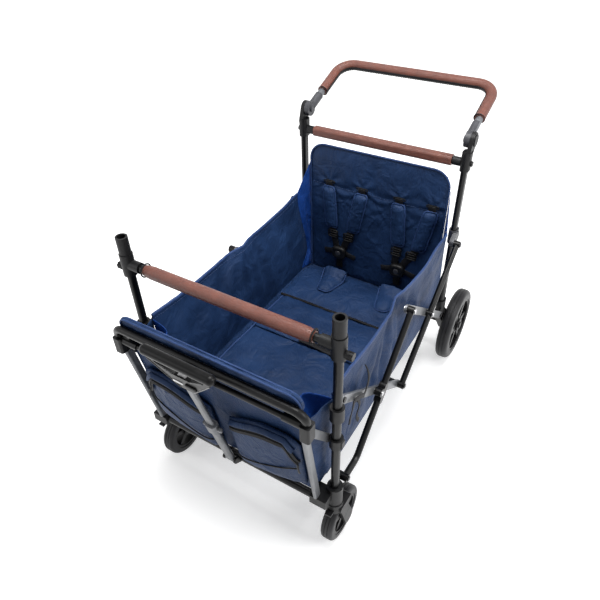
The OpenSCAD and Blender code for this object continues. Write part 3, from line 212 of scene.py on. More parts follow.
def swept_piece(name, path, profile, up, body, finish, slot, closed=False):
    """Solid swept along a path; an open path gets a flat cap at each end."""
    P = swept_points(path, profile, up, closed)
    n, m = P.shape[:2]
    faces = grid_quads(m, n + 1, wrap=True) % (n * m) if closed else tube_faces(m, n)
    uv = np.stack(np.meshgrid(run_length(P[0]), run_length(path)), -1).reshape(-1, 2) / 1000
    return make_piece(name, P.reshape(-1, 3), faces, body, finish, uv)


def round_profile(r, sides=8):
    """Circle of radius r as a regular polygon."""
    t = np.linspace(0, 2 * np.pi, sides, endpoint=False)
    return np.stack([r * np.cos(t), r * np.sin(t)], -1)


def strap_profile(w, t):
    """Flat strap w wide and t thick with rounded edges: half circles of radius t / 2 at both sides."""
    a = np.linspace(-np.pi / 2, np.pi / 2, 3)
    right = np.stack([w / 2 - t / 2 + t / 2 * np.cos(a), t / 2 * np.sin(a)], -1)
    return np.r_[right, -right]


print("sweep tools ready")

# %% [markdown]
# The shapes are built from a few plain curves: a smooth step, a dome, a quarter circle and a crumple made of
# seeded waves, so that each run gives the same cloth.

# %% Curves and crumples
def ease(t, a, b):
    """Smooth step from 0 at a to 1 at b: s^2 (3 - 2 s)."""
    s = np.clip((np.asarray(t, float) - a) / (b - a), 0, 1)
    return s * s * (3 - 2 * s)


def ripples(x, y, seed, waves=9, low=40.0, high=130.0):
    """Seeded crumple of unit size: sum of sines with random directions and lengths from low to high mm."""
    r = np.random.default_rng(seed)
    total = np.zeros(np.broadcast(x, y).shape)
    for _ in range(waves):
        angle, length, phase = r.uniform(0, np.pi), r.uniform(low, high), r.uniform(0, 2 * np.pi)
        total += np.sin(2 * np.pi * (x * np.cos(angle) + y * np.sin(angle)) / length + phase)
    return total / math.sqrt(waves)


def wrinkles(x, y, seed, low, high):
    """Sharp ridges of unit height along the zero lines of a slow crumple, in patches: exp(-|ripples| / 0.3)."""
    patches = ease(ripples(x, y, seed + 1, waves=4, low=2 * low, high=2 * high), -0.5, 0.9)
    return patches * np.exp(-np.abs(ripples(x, y, seed, waves=6, low=low, high=high)) / 0.3)


def dome(u, v, p, q):
    """Dome over u and v from -1 to 1 that falls to 0 at all edges: ((1 - |u|^p) (1 - |v|^q))^0.5."""
    return np.sqrt(np.clip((1 - np.abs(u) ** p) * (1 - np.abs(v) ** q), 0, None))


def arc(x, y, r, count):
    """Quarter circle about (x, y), from its right end to its top."""
    t = np.linspace(0, np.pi / 2, count)
    return np.stack([x + r * np.cos(t), y + r * np.sin(t)], -1)


def mirrored(half):
    """Outline from its right half (x, z): the half, then its mirror image in reverse."""
    return np.r_[half, (half * [-1, 1])[::-1]]


SIDES = (("left", -1), ("right", 1))
print("curves ready for", [name for name, _ in SIDES])

# %% [markdown]
# ## Camera, floor and light
# The photograph was taken from above the front right corner with a moderately wide lens, held slightly
# crooked. The camera's place, aim and roll were solved from the straight bars and posts of the frame.

# %% Camera
CAMERA_MM = (647.46, -1107.32, 1520.06)
AZIMUTH, ELEVATION, ROLL = np.radians([32.3867, 39.1377, -1.6974])
FOCAL_PX, FRAME_PX, SENSOR_MM = 550.52, 600, 36.0

back = np.array([math.sin(AZIMUTH) * math.cos(ELEVATION), -math.cos(AZIMUTH) * math.cos(ELEVATION),
                 math.sin(ELEVATION)])
level = unit(np.cross(-back, [0, 0, 1]))
upright = np.cross(level, -back)
right = math.cos(ROLL) * level + math.sin(ROLL) * upright
upward = math.cos(ROLL) * upright - math.sin(ROLL) * level
lens = bpy.data.cameras.new("camera")
lens.sensor_width = SENSOR_MM
lens.lens = SENSOR_MM * FOCAL_PX / FRAME_PX
camera = add_object("camera", lens, (right, upward, back), rows(CAMERA_MM))
SCENE.camera = camera
SCENE.view_settings.view_transform = "Standard"
print("camera at", np.round(rows(CAMERA_MM), 3), "lens", round(lens.lens, 2))

# %% [markdown]
# The object stands on a pale sheet under one broad soft light from above and two weaker ones from the
# sides, as in a studio. For the camera, and in reflections, the sheet glows more the further it lies from
# the wagon, so it burns out to white at the edge of the picture and keeps the soft shadow below the wheels.

# %% Floor
def node(tree, kind, inputs=None, **settings):
    """Shader node of a kind; inputs gives each socket a value or another node's output."""
    made = tree.nodes.new("ShaderNode" + kind)
    for key, value in settings.items():
        setattr(made, key, value)
    for key, value in (inputs or {}).items():
        if isinstance(value, bpy.types.NodeSocket):
            tree.links.new(value, made.inputs[key])
        else:
            made.inputs[key].default_value = value
    return made


def math_node(tree, operation, a, b=0.0):
    """Output of a Math node."""
    return node(tree, "Math", {0: a, 1: b}, operation=operation).outputs[0]


def empty_material(name):
    """Material with a bare node tree and its output node."""
    material = bpy.data.materials.new(name)
    material.use_nodes = True
    material.node_tree.nodes.clear()
    return material, material.node_tree, material.node_tree.nodes.new("ShaderNodeOutputMaterial")


# The sheet brightens from DIM at the distance NEAR to 1 at the distance FAR, both in metres.
NEAR, FAR, DIM, FLOOR_HALF = 0.4, 1.1, 0.44, 9
floor_finish, tree, out = empty_material("studio_floor")
where = node(tree, "TexCoord")
paper = node(tree, "TexNoise", {"Vector": where.outputs["Object"], "Scale": 60.0})
tone = node(tree, "MapRange", {"Value": paper.outputs["Fac"], "To Min": 0.78, "To Max": 0.82})


def seen_directly(tree):
    """1 for a ray from the camera, a mirror-like reflection or a view through glass, else 0."""
    ray = node(tree, "LightPath").outputs
    gloss = math_node(tree, "MAXIMUM", ray["Is Glossy Ray"], ray["Is Transmission Ray"])
    return math_node(tree, "MAXIMUM", ray["Is Camera Ray"], gloss)


away = node(tree, "VectorMath", {0: where.outputs["Object"]}, operation="LENGTH")
bright = node(tree, "MapRange", {"Value": away.outputs["Value"], "From Min": NEAR, "From Max": FAR,
                                 "To Min": DIM, "To Max": 1.0}, interpolation_type="SMOOTHSTEP")
glow = math_node(tree, "MULTIPLY", bright.outputs["Result"], seen_directly(tree))
sheet = node(tree, "BsdfPrincipled", {"Base Color": tone.outputs["Result"], "Roughness": 0.9,
                                      "Emission Color": (1, 1, 1, 1), "Emission Strength": glow})
tree.links.new(sheet.outputs[0], out.inputs[0])
floor_mesh = bpy.data.meshes.new("studio_floor")
floor_mesh.from_pydata([(a * FLOOR_HALF, b * FLOOR_HALF, 0) for a, b in ((-1, -1), (1, -1), (1, 1), (-1, 1))],
                       [], [(0, 1, 2, 3)])
floor_mesh.materials.append(floor_finish)
floor = add_object("studio_floor", floor_mesh)

print("floor", 2 * FLOOR_HALF, "m wide")

# %% World and lights
world = bpy.data.worlds.new("studio")
SCENE.world = world
world.use_nodes = True
tree = world.node_tree
tree.nodes.clear()
strength = node(tree, "MapRange", {"Value": seen_directly(tree), "To Min": 0.3, "To Max": 1.0})
sky = node(tree, "Background", {"Color": (1, 1, 1, 1), "Strength": strength.outputs["Result"]})
tree.links.new(sky.outputs[0], node(tree, "OutputWorld").inputs[0])

LIGHTS = (("overhead", (0.2, -0.1, 2.7), (0, 0, 0), 1.4, 66.0),
          ("front_left", (-1.9, -2.2, 1.9), (0, 0, 0.4), 1.5, 12.0),
          ("rear_right", (2.6, 0.3, 1.9), (0, 0, 0.4), 1.4, 46.0))
for name, place, aim, size, watts in LIGHTS:
    lamp = bpy.data.lights.new(name, "AREA")
    lamp.size = size
    lamp.energy = watts
    z = unit(np.array(place) - np.array(aim))
    x = unit(np.cross([0, 1, 0.001], z))
    add_object(name, lamp, (x, np.cross(z, x), z), place)
print("lights:", [name for name, *_ in LIGHTS])

# %% [markdown]
# ## Finishes
# Four shader groups are shared: a woven thread pattern, a slow drift of colour, a pebbled grain, and fine
# rubbed marks. Each gives only values that change over a surface; the material decides how they are used.

# %% Shared shader groups
def shader_group(name, inputs, outputs):
    """Node group with (label, kind, default) inputs and (label, kind) outputs."""
    group = bpy.data.node_groups.new(name, "ShaderNodeTree")
    for label, kind, value in inputs:
        socket = group.interface.new_socket(label, in_out="INPUT", socket_type="NodeSocket" + kind)
        if value is not None:
            socket.default_value = value
    for label, kind in outputs:
        group.interface.new_socket(label, in_out="OUTPUT", socket_type="NodeSocket" + kind)
    return group, group.nodes.new("NodeGroupInput").outputs, group.nodes.new("NodeGroupOutput").inputs


WEAVE, given, result = shader_group("weave", [("Vector", "Vector", None), ("Pitch", "Float", 0.0009)],
                                    [("Height", "Float"), ("Slub", "Float")])
turns = math_node(WEAVE, "DIVIDE", 3.14159, given["Pitch"])
threads = node(WEAVE, "VectorMath", {0: given["Vector"], "Scale": turns}, operation="SCALE")
axis = node(WEAVE, "SeparateXYZ", {0: threads.outputs[0]})
over = math_node(WEAVE, "MULTIPLY", *[math_node(WEAVE, "SINE", axis.outputs[k]) for k in (0, 1)])
WEAVE.links.new(math_node(WEAVE, "MULTIPLY", math_node(WEAVE, "ADD", over, 1.0), 0.5), result["Height"])
slubs = []
for stretch in ((900.0, 45.0, 1.0), (45.0, 900.0, 1.0)):
    drawn = node(WEAVE, "VectorMath", {0: given["Vector"], 1: stretch}, operation="MULTIPLY")
    streak = node(WEAVE, "TexNoise", {"Vector": drawn.outputs[0], "Scale": 1.0, "Detail": 1.0})
    slubs.append(streak.outputs[0])
WEAVE.links.new(math_node(WEAVE, "MULTIPLY", math_node(WEAVE, "ADD", *slubs), 0.5), result["Slub"])

DRIFT, given, result = shader_group("drift", [("Vector", "Vector", None), ("Scale", "Float", 9.0),
                                              ("Light", "Color", None), ("Dark", "Color", None)],
                                    [("Color", "Color"), ("Value", "Float")])
slow = node(DRIFT, "TexNoise", {"Vector": given["Vector"], "Scale": given["Scale"], "Detail": 5.0,
                                "Roughness": 0.6})
level = node(DRIFT, "MapRange", {"Value": slow.outputs[0], "From Min": 0.3, "From Max": 0.7})
tint = node(DRIFT, "Mix", {"Factor": level.outputs[0]}, data_type="RGBA")
for socket, colour in (("A", "Dark"), ("B", "Light")):
    DRIFT.links.new(given[colour], [s for s in tint.inputs if s.name == socket and s.type == "RGBA"][0])
DRIFT.links.new([s for s in tint.outputs if s.type == "RGBA"][0], result["Color"])
DRIFT.links.new(level.outputs[0], result["Value"])

GRAIN, given, result = shader_group("grain", [("Vector", "Vector", None), ("Scale", "Float", 700.0)],
                                    [("Height", "Float"), ("Crease", "Float")])
cell, crack = [node(GRAIN, "TexVoronoi", {"Vector": given["Vector"], "Scale": given["Scale"]}, feature=kind)
               for kind in ("SMOOTH_F1", "DISTANCE_TO_EDGE")]
edge = node(GRAIN, "MapRange", {"Value": crack.outputs["Distance"], "From Max": 0.12})
GRAIN.links.new(math_node(GRAIN, "SUBTRACT", 1.0, cell.outputs["Distance"]), result["Height"])
GRAIN.links.new(edge.outputs[0], result["Crease"])

RUBBED, given, result = shader_group("rubbed", [("Vector", "Vector", None), ("Scale", "Float", 30.0)],
                                     [("Mask", "Float"), ("Scratch", "Float")])
patch = node(RUBBED, "TexNoise", {"Vector": given["Vector"], "Scale": given["Scale"], "Detail": 8.0,
                                  "Roughness": 0.7})
mask = node(RUBBED, "MapRange", {"Value": patch.outputs[0], "From Min": 0.52, "From Max": 0.72})
drawn = node(RUBBED, "VectorMath", {0: given["Vector"], 1: (1400.0, 1400.0, 60.0)}, operation="MULTIPLY")
lines = node(RUBBED, "TexNoise", {"Vector": drawn.outputs[0], "Scale": 1.0, "Detail": 2.0})
RUBBED.links.new(mask.outputs[0], result["Mask"])
RUBBED.links.new(lines.outputs[0], result["Scratch"])
print("shader groups:", [g.name for g in bpy.data.node_groups])

# %% [markdown]
# Cloth finishes use the weave on the piece's own UV map, which is in metres, so the thread pitch is real.
# Hard finishes use the object's coordinates, which are also metres because every piece lies at the origin.

# %% Finish makers
def srgb(r, g, b):
    """Linear colour from 8-bit screen values: ((c + 0.055) / 1.055)^2.4 above the toe."""
    c = np.array([r, g, b], float) / 255
    c = np.where(c > 0.04045, ((c + 0.055) / 1.055) ** 2.4, c / 12.92)
    return (*c.tolist(), 1.0)


def group_node(tree, group, inputs):
    """Outputs of one use of a shared group."""
    return node(tree, "Group", inputs, node_tree=group).outputs


def tinted(tree, place, scale, light, dark):
    """Colour that drifts between two 8-bit screen colours."""
    return group_node(tree, DRIFT, {"Vector": place, "Scale": scale, "Light": srgb(*light),
                                    "Dark": srgb(*dark)})["Color"]


def shaded(tree, colour, mask, low, high):
    """Colour with its value multiplied by low to high as the mask goes from 0 to 1."""
    return node(tree, "HueSaturation", {"Color": colour, "Value": spread(tree, mask, low, high)}).outputs[0]


def bumped(tree, shader, height, depth, strength, under=None):
    """Bump of a height map, depth metres deep, on a shader's normal; under is a bump that lies below it."""
    bump = node(tree, "Bump", {"Height": height, "Distance": depth, "Strength": strength})
    if under is not None:
        tree.links.new(under, bump.inputs["Normal"])
    tree.links.new(bump.outputs[0], shader.inputs["Normal"])


def spread(tree, value, low, high):
    """Value from 0 to 1 mapped on low to high."""
    return node(tree, "MapRange", {"Value": value, "To Min": low, "To Max": high}).outputs[0]


def cloth_finish(name, light, dark, pitch=0.0009, rough=0.52, depth=0.00035, creases=0.014):
    """Woven cloth: drifting colour, slubs in both thread directions, thread bump over soft creases."""
    material, tree, out = empty_material(name)
    place = node(tree, "UVMap", uv_map="cloth").outputs[0]
    solid = node(tree, "TexCoord").outputs["Object"]
    threads = group_node(tree, WEAVE, {"Vector": place, "Pitch": pitch})
    fleck = shaded(tree, tinted(tree, solid, 9.0, light, dark), threads["Slub"], 0.7, 1.3)
    dull = spread(tree, threads["Slub"], rough - 0.1, rough + 0.1)
    shader = node(tree, "BsdfPrincipled", {"Base Color": fleck, "Specular IOR Level": 0.18, "Roughness": dull})
    soft = node(tree, "TexNoise", {"Vector": solid, "Scale": 16.0, "Detail": 4.0, "Distortion": 1.2})
    folds = node(tree, "Bump", {"Height": soft.outputs[0], "Distance": creases, "Strength": 0.6})
    relief = math_node(tree, "ADD", threads["Height"], math_node(tree, "MULTIPLY", threads["Slub"], 1.5))
    bumped(tree, shader, relief, depth, 0.5, folds.outputs[0])
    tree.links.new(shader.outputs[0], out.inputs[0])
    return material


def hard_finish(name, light, dark, rough, metallic=0.0, grain=900.0, depth=0.00012, shine=0.5):
    """Moulded or coated surface: slow tone drift, pebbled grain or orange peel, and rubbed patches."""
    material, tree, out = empty_material(name)
    place = node(tree, "TexCoord").outputs["Object"]
    pebble = group_node(tree, GRAIN, {"Vector": place, "Scale": grain})
    worn = group_node(tree, RUBBED, {"Vector": place, "Scale": 34.0})
    shade = shaded(tree, tinted(tree, place, 24.0, light, dark), worn["Mask"], 0.92, 1.35)
    dull = math_node(tree, "ADD", spread(tree, worn["Mask"], rough, rough + 0.12),
                     spread(tree, worn["Scratch"], -0.05, 0.05))
    shader = node(tree, "BsdfPrincipled", {"Base Color": shade, "Roughness": dull, "Metallic": metallic,
                                           "Specular IOR Level": shine})
    bumped(tree, shader, pebble["Height"], depth, 0.5)
    tree.links.new(shader.outputs[0], out.inputs[0])
    return material


def leather_finish(name, light, dark):
    """Leather: mottled dye, pebbled grain with dark creases, and a low waxy shine."""
    material, tree, out = empty_material(name)
    place = node(tree, "TexCoord").outputs["Object"]
    pebble = group_node(tree, GRAIN, {"Vector": place, "Scale": 620.0})
    worn = group_node(tree, RUBBED, {"Vector": place, "Scale": 22.0})
    creased = shaded(tree, tinted(tree, place, 36.0, light, dark), pebble["Crease"], 0.7, 1.06)
    shader = node(tree, "BsdfPrincipled", {"Base Color": creased, "Specular IOR Level": 0.5,
                                           "Roughness": spread(tree, worn["Mask"], 0.36, 0.5)})
    bumped(tree, shader, pebble["Crease"], 0.0004, 0.6)
    tree.links.new(shader.outputs[0], out.inputs[0])
    return material


print("finish makers ready")

# %% [markdown]
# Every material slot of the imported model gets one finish. Colours are 8-bit screen values, first the lighter
# and then the darker end of the drift.

# %% Finishes by material slot
FINISH = {
    "black_metal": hard_finish("black_powder_coat", (15, 15, 16), (9, 9, 10), 0.3, grain=1500.0, depth=0.00004,
                               shine=0.22),
    "grey_metal": hard_finish("grey_powder_coat", (120, 122, 126), (98, 100, 104), 0.34, 0.35, 1500.0, 0.00004),
    "steel": hard_finish("brushed_steel", (205, 205, 205), (160, 160, 162), 0.28, 1.0, 1800.0, 0.00002),
    "black_plastic": hard_finish("black_moulding", (18, 18, 20), (11, 11, 12), 0.44, grain=1100.0, shine=0.24),
    "grey_plastic": hard_finish("grey_moulding", (58, 59, 64), (44, 45, 50), 0.46, grain=1100.0),
    "gloss_plastic": hard_finish("gloss_black_moulding", (11, 11, 12), (7, 7, 8), 0.3, grain=260.0,
                                 depth=0.00003, shine=0.16),
    "wheel_plastic": hard_finish("wheel_moulding", (22, 22, 24), (13, 13, 15), 0.42, grain=1000.0, shine=0.26),
    "tyre": hard_finish("tyre_rubber", (30, 30, 33), (20, 20, 23), 0.46, grain=800.0, depth=0.00015, shine=0.28),
    "leather": leather_finish("brown_leather", (114, 64, 50), (94, 50, 39)),
    "navy_cloth": cloth_finish("navy_canvas", (33, 57, 95), (23, 43, 75)),
    "blue_nylon": cloth_finish("blue_nylon", (31, 73, 150), (23, 58, 124), pitch=0.0006, rough=0.46),
    "webbing": cloth_finish("black_webbing", (26, 26, 29), (16, 16, 18), pitch=0.0016, rough=0.6, depth=0.0006,
                            creases=0.0005),
}
print("finishes:", len(FINISH))

# %% [markdown]
# ## Rigid pieces
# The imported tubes, clamps, arms and wheels already have their true shape. Each keeps its mesh and takes the
# finish of its material slot.

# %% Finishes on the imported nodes
for part in frame["record"]["subparts"]:
    shown = CAD[part["node"]]
    for place in shown.material_slots:
        place.material = FINISH[part["material_slot"]]

# %% [markdown]
# ## Padding
# A pad is sewn flat and then stuffed. Its cover is remeshed evenly, held along its seams and blown up by
# a short cloth simulation with a little pressure. No point may move further than a set cap, so the pad stays
# in its place. Creases that a seam pulls into the cover are added afterwards along the normals.

# %% Reading and moving points
def points_of(piece):
    """Vertices of a piece in millimetres about the middle of the posts."""
    co = np.empty(len(piece.data.vertices) * 3)
    piece.data.vertices.foreach_get("co", co)
    return co.reshape(-1, 3) * 1000 - [0, Y_SHIFT, 0]


def normals_of(piece):
    """Vertex normals of a piece."""
    n = np.empty(len(piece.data.vertices) * 3)
    piece.data.vertex_normals.foreach_get("vector", n)
    return n.reshape(-1, 3)


def move_points(piece, points):
    """Put the vertices of a piece at new places in millimetres."""
    piece.data.vertices.foreach_set("co", rows(points).ravel())
    piece.data.update()


def apply_modifiers(piece):
    """Replace the mesh of a piece by the result of its modifiers."""
    graph = bpy.context.evaluated_depsgraph_get()
    made = bpy.data.meshes.new_from_object(piece.evaluated_get(graph), depsgraph=graph)
    piece.modifiers.clear()
    piece.data = made


print("point tools ready")

# %% Stuffing and creasing
PRESSURE, STIFFNESS, BENDING, FRAMES = 4.0, 12, 0.4, 20


def stuff(piece, cap, seam, voxel=5.0, axes=(0, 2)):
    """Remesh, blow up by cloth simulation and cap the movement; seam gives a hold from 0 to 1 at each point."""
    even = piece.modifiers.new("even", "REMESH")
    even.mode = "VOXEL"
    even.voxel_size = voxel / 1000
    apply_modifiers(piece)
    start = points_of(piece)
    hold = piece.vertex_groups.new(name="seam")
    weight = np.clip(seam(start), 0, 1)
    for step in np.linspace(0.25, 1, 4):
        chosen = np.flatnonzero(np.abs(np.ceil(weight * 4) / 4 - step) < 1e-6)
        hold.add(chosen.tolist(), float(step), "REPLACE")
    blown = piece.modifiers.new("blown", "CLOTH")
    blown.settings.quality = 4
    blown.settings.use_pressure = True
    blown.settings.uniform_pressure_force = PRESSURE
    blown.settings.vertex_group_mass = "seam"
    blown.settings.effector_weights.gravity = 0
    blown.settings.tension_stiffness = blown.settings.compression_stiffness = STIFFNESS
    blown.settings.bending_stiffness = BENDING
    blown.collision_settings.use_collision = False
    blown.point_cache.frame_end = FRAMES
    for number in range(1, FRAMES + 1):
        SCENE.frame_set(number)
    apply_modifiers(piece)
    SCENE.frame_set(1)
    piece.vertex_groups.clear()
    move = points_of(piece) - start
    far = np.linalg.norm(move, axis=1, keepdims=True)
    move_points(piece, start + move * np.minimum(1, cap / np.maximum(far, 1e-9)))
    round_off = piece.modifiers.new("round_off", "SUBSURF")
    round_off.levels = round_off.render_levels = 1
    apply_modifiers(piece)
    shade_smooth(piece.data)
    set_uv(piece.data, points_of(piece)[:, list(axes)] / 1000)


def crease(piece, height):
    """Move each vertex along its normal by height(points, normals) in millimetres."""
    p, n = points_of(piece), normals_of(piece)
    move_points(piece, p + n * height(p, n)[:, None])


print("padding tools ready")

# %% [markdown]
# Seams carry a round cord or a row of stitches. A stitch is a small six-sided form with thin ends.

# %% Piping and stitches
def piping(name, path, up, body, finish, slot, r=2.6, closed=False):
    """Round cord sewn into a seam, with a slight twist of its cover along its length."""
    swell = r * (1 + 0.06 * np.sin(np.arange(len(path)) * 1.9))
    profile = round_profile(1)[None] * swell[:, None, None]
    return swept_piece(name, path, profile, up, body, finish, slot, closed)


def resample(path, pitch, closed=False):
    """Points spaced evenly along a polyline, about pitch apart."""
    path = np.asarray(path, float)
    if closed:
        path = np.r_[path, path[:1]]
    run = run_length(path)
    at = np.linspace(0, run[-1], max(3, int(round(run[-1] / pitch)) + 1))
    found = np.stack([np.interp(at, run, path[:, k]) for k in range(3)], -1)
    return found[:-1] if closed else found


def stitches(name, path, up, body, finish, slot, pitch=7.0, length=4.4, r=0.7, sink=0.2):
    """Row of stitches: six-sided stitches with thin ends along a path, each lying in the cloth by sink."""
    at = resample(path, pitch)
    up = np.broadcast_to(np.asarray(up, float), np.shape(path))
    lift = up[np.clip(np.round(np.linspace(0, len(path) - 1, len(at))).astype(int), 0, len(path) - 1)]
    points, faces = [], []
    ring = round_profile(1, 6)
    for p, t, n in zip(at, unit(np.gradient(at, axis=0)), lift):
        side = np.cross(t, n)
        around = side[None] * ring[:, :1] + n[None] * ring[:, 1:]
        rings = [p + t * s * length / 2 + n * (r - sink) + around * w
                 for s, w in ((-1, 0.35 * r), (-0.6, r), (0.6, r), (1, 0.35 * r))]
        first = len(points) * 24
        points.append(np.concatenate(rings))
        faces += tube_faces(6, 4, first)
    return make_piece(name, np.concatenate(points), faces, body, finish)


print("seam tools ready")

# %% [markdown]
# A soft piece rides on a body and has a finish. The sets of three (body, finish, slot name) that come back again
# and again get names: TUB for what rides on the front frame, BACK for what rides on the rear frame.

# %% Trim finishes and sets
PIPE = cloth_finish("piping_cloth", (52, 74, 118), (38, 58, 98), pitch=0.0012, rough=0.5, creases=0.0005)
THREAD = hard_finish("thread", (66, 86, 128), (48, 66, 104), 0.6, grain=2500.0)
DARK_THREAD = hard_finish("dark_thread", (44, 38, 40), (28, 25, 27), 0.7, grain=2500.0)
TAPE = cloth_finish("zip_tape", (22, 22, 25), (13, 13, 15), pitch=0.0012, rough=0.6, creases=0.0005)
SEWN = (FINISH["navy_cloth"], PIPE, THREAD)
TUB_NAVY, TUB_PIPE, TUB_THREAD = [("front_frame", finish, "navy_cloth") for finish in SEWN]
BACK_NAVY, BACK_PIPE, BACK_THREAD = [("rear_frame", finish, "navy_cloth") for finish in SEWN]
TUB_BELT, TUB_TAPE = [("front_frame", finish, "webbing") for finish in (FINISH["webbing"], TAPE)]
BACK_BELT, BACK_TAPE = [("rear_frame", finish, "webbing") for finish in (FINISH["webbing"], TAPE)]
TUB_NYLON = ("front_frame", FINISH["blue_nylon"], "blue_nylon")
TUB_BLACK, BACK_BLACK = [(body, FINISH["black_plastic"], "black_plastic") for body in ("front_frame", "rear_frame")]


def folds_away(*pieces):
    """Give each piece of the tub its own copy of its mesh."""
    for piece in pieces:
        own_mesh(piece)


print("trim finishes: piping, thread, dark thread, tape")

# %% [markdown]
# ## Tub sides
# Each side is one cloth panel that hangs from the posts and is tented by the upper pivot of the scissor
# arms. The panel is gathered when the wagon folds, so soft pleats fan down from the pivot. Each pleat is a
# bell curve across its own line, which also fades along its length, so no two are alike.

# %% Side panels with hems
TUB_HALF, FLOOR_Z, SIDE_LOW, SIDE_FRONT, SIDE_BACK = 256.0, 278.0, 278.3, -388.0, 338.0
SIDE_H, SIDE_TOP, SIDE_T = 325, 594, 2.2
# Each pleat: y at its foot and at its top, depth, width, and the middle and reach of its fade up the side.
PLEATS = ((-345, -270, 6.0, 30, 0.50, 0.40), (-262, -128, 10.0, 36, 0.52, 0.36),
          (-160, -40, 15.0, 27, 0.60, 0.40), (-78, -14, 20.0, 22, 0.60, 0.42), (14, 4, 14.0, 17, 0.64, 0.36),
          (82, 24, 18.0, 24, 0.60, 0.40), (168, 62, 13.0, 31, 0.56, 0.38), (262, 150, 8.0, 36, 0.50, 0.36))


def side_edge(y):
    """Top edge: 12 higher at the rear, hanging slack by 7 and 8 between the posts and the pivot."""
    before = np.sin(np.pi * np.clip((y - SIDE_FRONT) / -SIDE_FRONT, 0, 1)) ** 2
    behind = np.sin(np.pi * np.clip(y / SIDE_BACK, 0, 1)) ** 2
    return SIDE_TOP + 12 * ease(y, 0, 402) - 7 * before - 8 * behind


def side_rear(z):
    """Rear end of a side at a height: reaches back by 44 above the foot, where it clears the rear legs."""
    return SIDE_BACK + 44 * ease(z, 282, 352) * (1 - ease(z, 350, 590))


def side_bulge(v):
    """X of a side at the share v of its height: 12 further out at the top, drawn in by 3 half way."""
    return TUB_HALF + 12 * np.sin(np.pi / 2 * v) - 3 * np.sin(np.pi * v)


def side_grid():
    """Inner face of the right side: bulge to the top edge, pleats fanning from the pivot, small crumples."""
    u, v = span(150, 60)
    y = SIDE_FRONT + u * (side_rear(SIDE_LOW + v * SIDE_H) - SIDE_FRONT)
    z = SIDE_LOW + v * (side_edge(y) - SIDE_LOW)
    x = side_bulge(v)
    for foot, top, depth, width, middle, reach in PLEATS:
        line = top + (foot - top) * (1 - v) ** 0.85
        x -= depth * np.exp(-((y - line) / width) ** 2 - ((v - middle) / reach) ** 4) * ease(v, 0.02, 0.2)
    loose = ease(u, 0, 0.06) * ease(1 - u, 0, 0.06) * ease(v, 0, 0.12)
    waves = 1.6 * (1 + ripples(y, z, 3, low=70, high=190))
    return xyz(x - loose * (waves + 2.4 * wrinkles(y, 0.7 * z, 4, low=80, high=190)), y, z)


grid = side_grid()
for name, side in SIDES:
    P = grid * [side, 1, 1]
    panel = cloth_piece("tub_side_cloth_" + name, P, -SIDE_T * side, *TUB_NAVY)
    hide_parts("tub_side_" + name)
    edge = P[-1] + [0.4 * side, 0, -5]
    hem = swept_piece("side_hem_" + name, edge, strap_profile(13, 5.6), [1, 0, 0], *TUB_PIPE)
    seam = stitches("side_stitch_" + name, P[-4, ::2] + [-0.2 * side, 0, -1], [-side, 0, 0], *TUB_THREAD)
    folds_away(panel, hem, seam)
print("tub sides:", grid.shape[:2], "points each")

# %% [markdown]
# ## Floor cloth and mats
# The floor cloth lies on the cross tube and is turned up inside the sides and behind the back. It carries a
# mat in three padded sections, so the mat can fold at its seams.

# %% Floor cloth
FLOOR_T = 2.2
u, y = np.meshgrid(np.linspace(-1, 1, 60), np.r_[np.linspace(-418, 398.6, 88), 400.4, 401.6])
x = u * (TUB_HALF - 0.6)
below = 0.6 * (1 + ripples(x, y, 11, low=60, high=180)) * (1 - u ** 8) + 1.4 * (1 - u ** 4)
turned = 6 * np.abs(u) ** 60 + 9 * ease(y, 399, 401.6)
floor_cloth = cloth_piece("tub_floor_cloth", xyz(x, y, FLOOR_Z - 0.4 - below * 0.5 + turned), FLOOR_T, *TUB_NAVY)
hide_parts("tub_floor")
folds_away(floor_cloth)
print("floor cloth", floor_cloth.dimensions[:])

# %% Mat sections
MAT_Z, MAT_T, MAT_HALF, CORD_X = 278.5, 15.0, 248.0, 232
MATS = (("front", -414.0, -18.0), ("middle", -14.0, 172.0), ("seat", 176.0, 370.0))
MAT_SEAMS, STRAP_ENDS = (-16, 174), ((-60, -6), (80, -12))


def mat_top(x, y, y0, y1):
    """Upper face of a mat section at x and y."""
    u, v = 0.5 + x / MAT_HALF / 2, (y - y0) / (y1 - y0)
    return MAT_Z + 4.5 + (MAT_T - 6.5) * dome(2 * u - 1, 2 * v - 1, 4, 4)


def fan(x, y, a, b, reach, full):
    """Six folds that fan out round (a, b): cos(6 angle + a), faded in up to full and out by reach."""
    r, angle = np.hypot(x - a, y - b), np.arctan2(y - b, x - a)
    return np.cos(6 * angle + a) * np.exp(-(r / reach) ** 2) * ease(r, 6, full)


def mat_wrinkles(x, y):
    """Slow waves, small crumples, pulls along the two cross seams and fans about the ends of the strap."""
    rise = 1.3 * ripples(x, y, 5, low=80, high=210) + 2.4 * wrinkles(x, y, 7, low=80, high=200)
    for seam in MAT_SEAMS:
        rise += 0.9 * np.sin(x / 8.5 + 2 * np.sin(x / 37)) * np.exp(-((y - seam) / 20) ** 2)
    for a, b in STRAP_ENDS:
        rise += 2.8 * fan(x, y, a, b, 85, 34)
    return rise


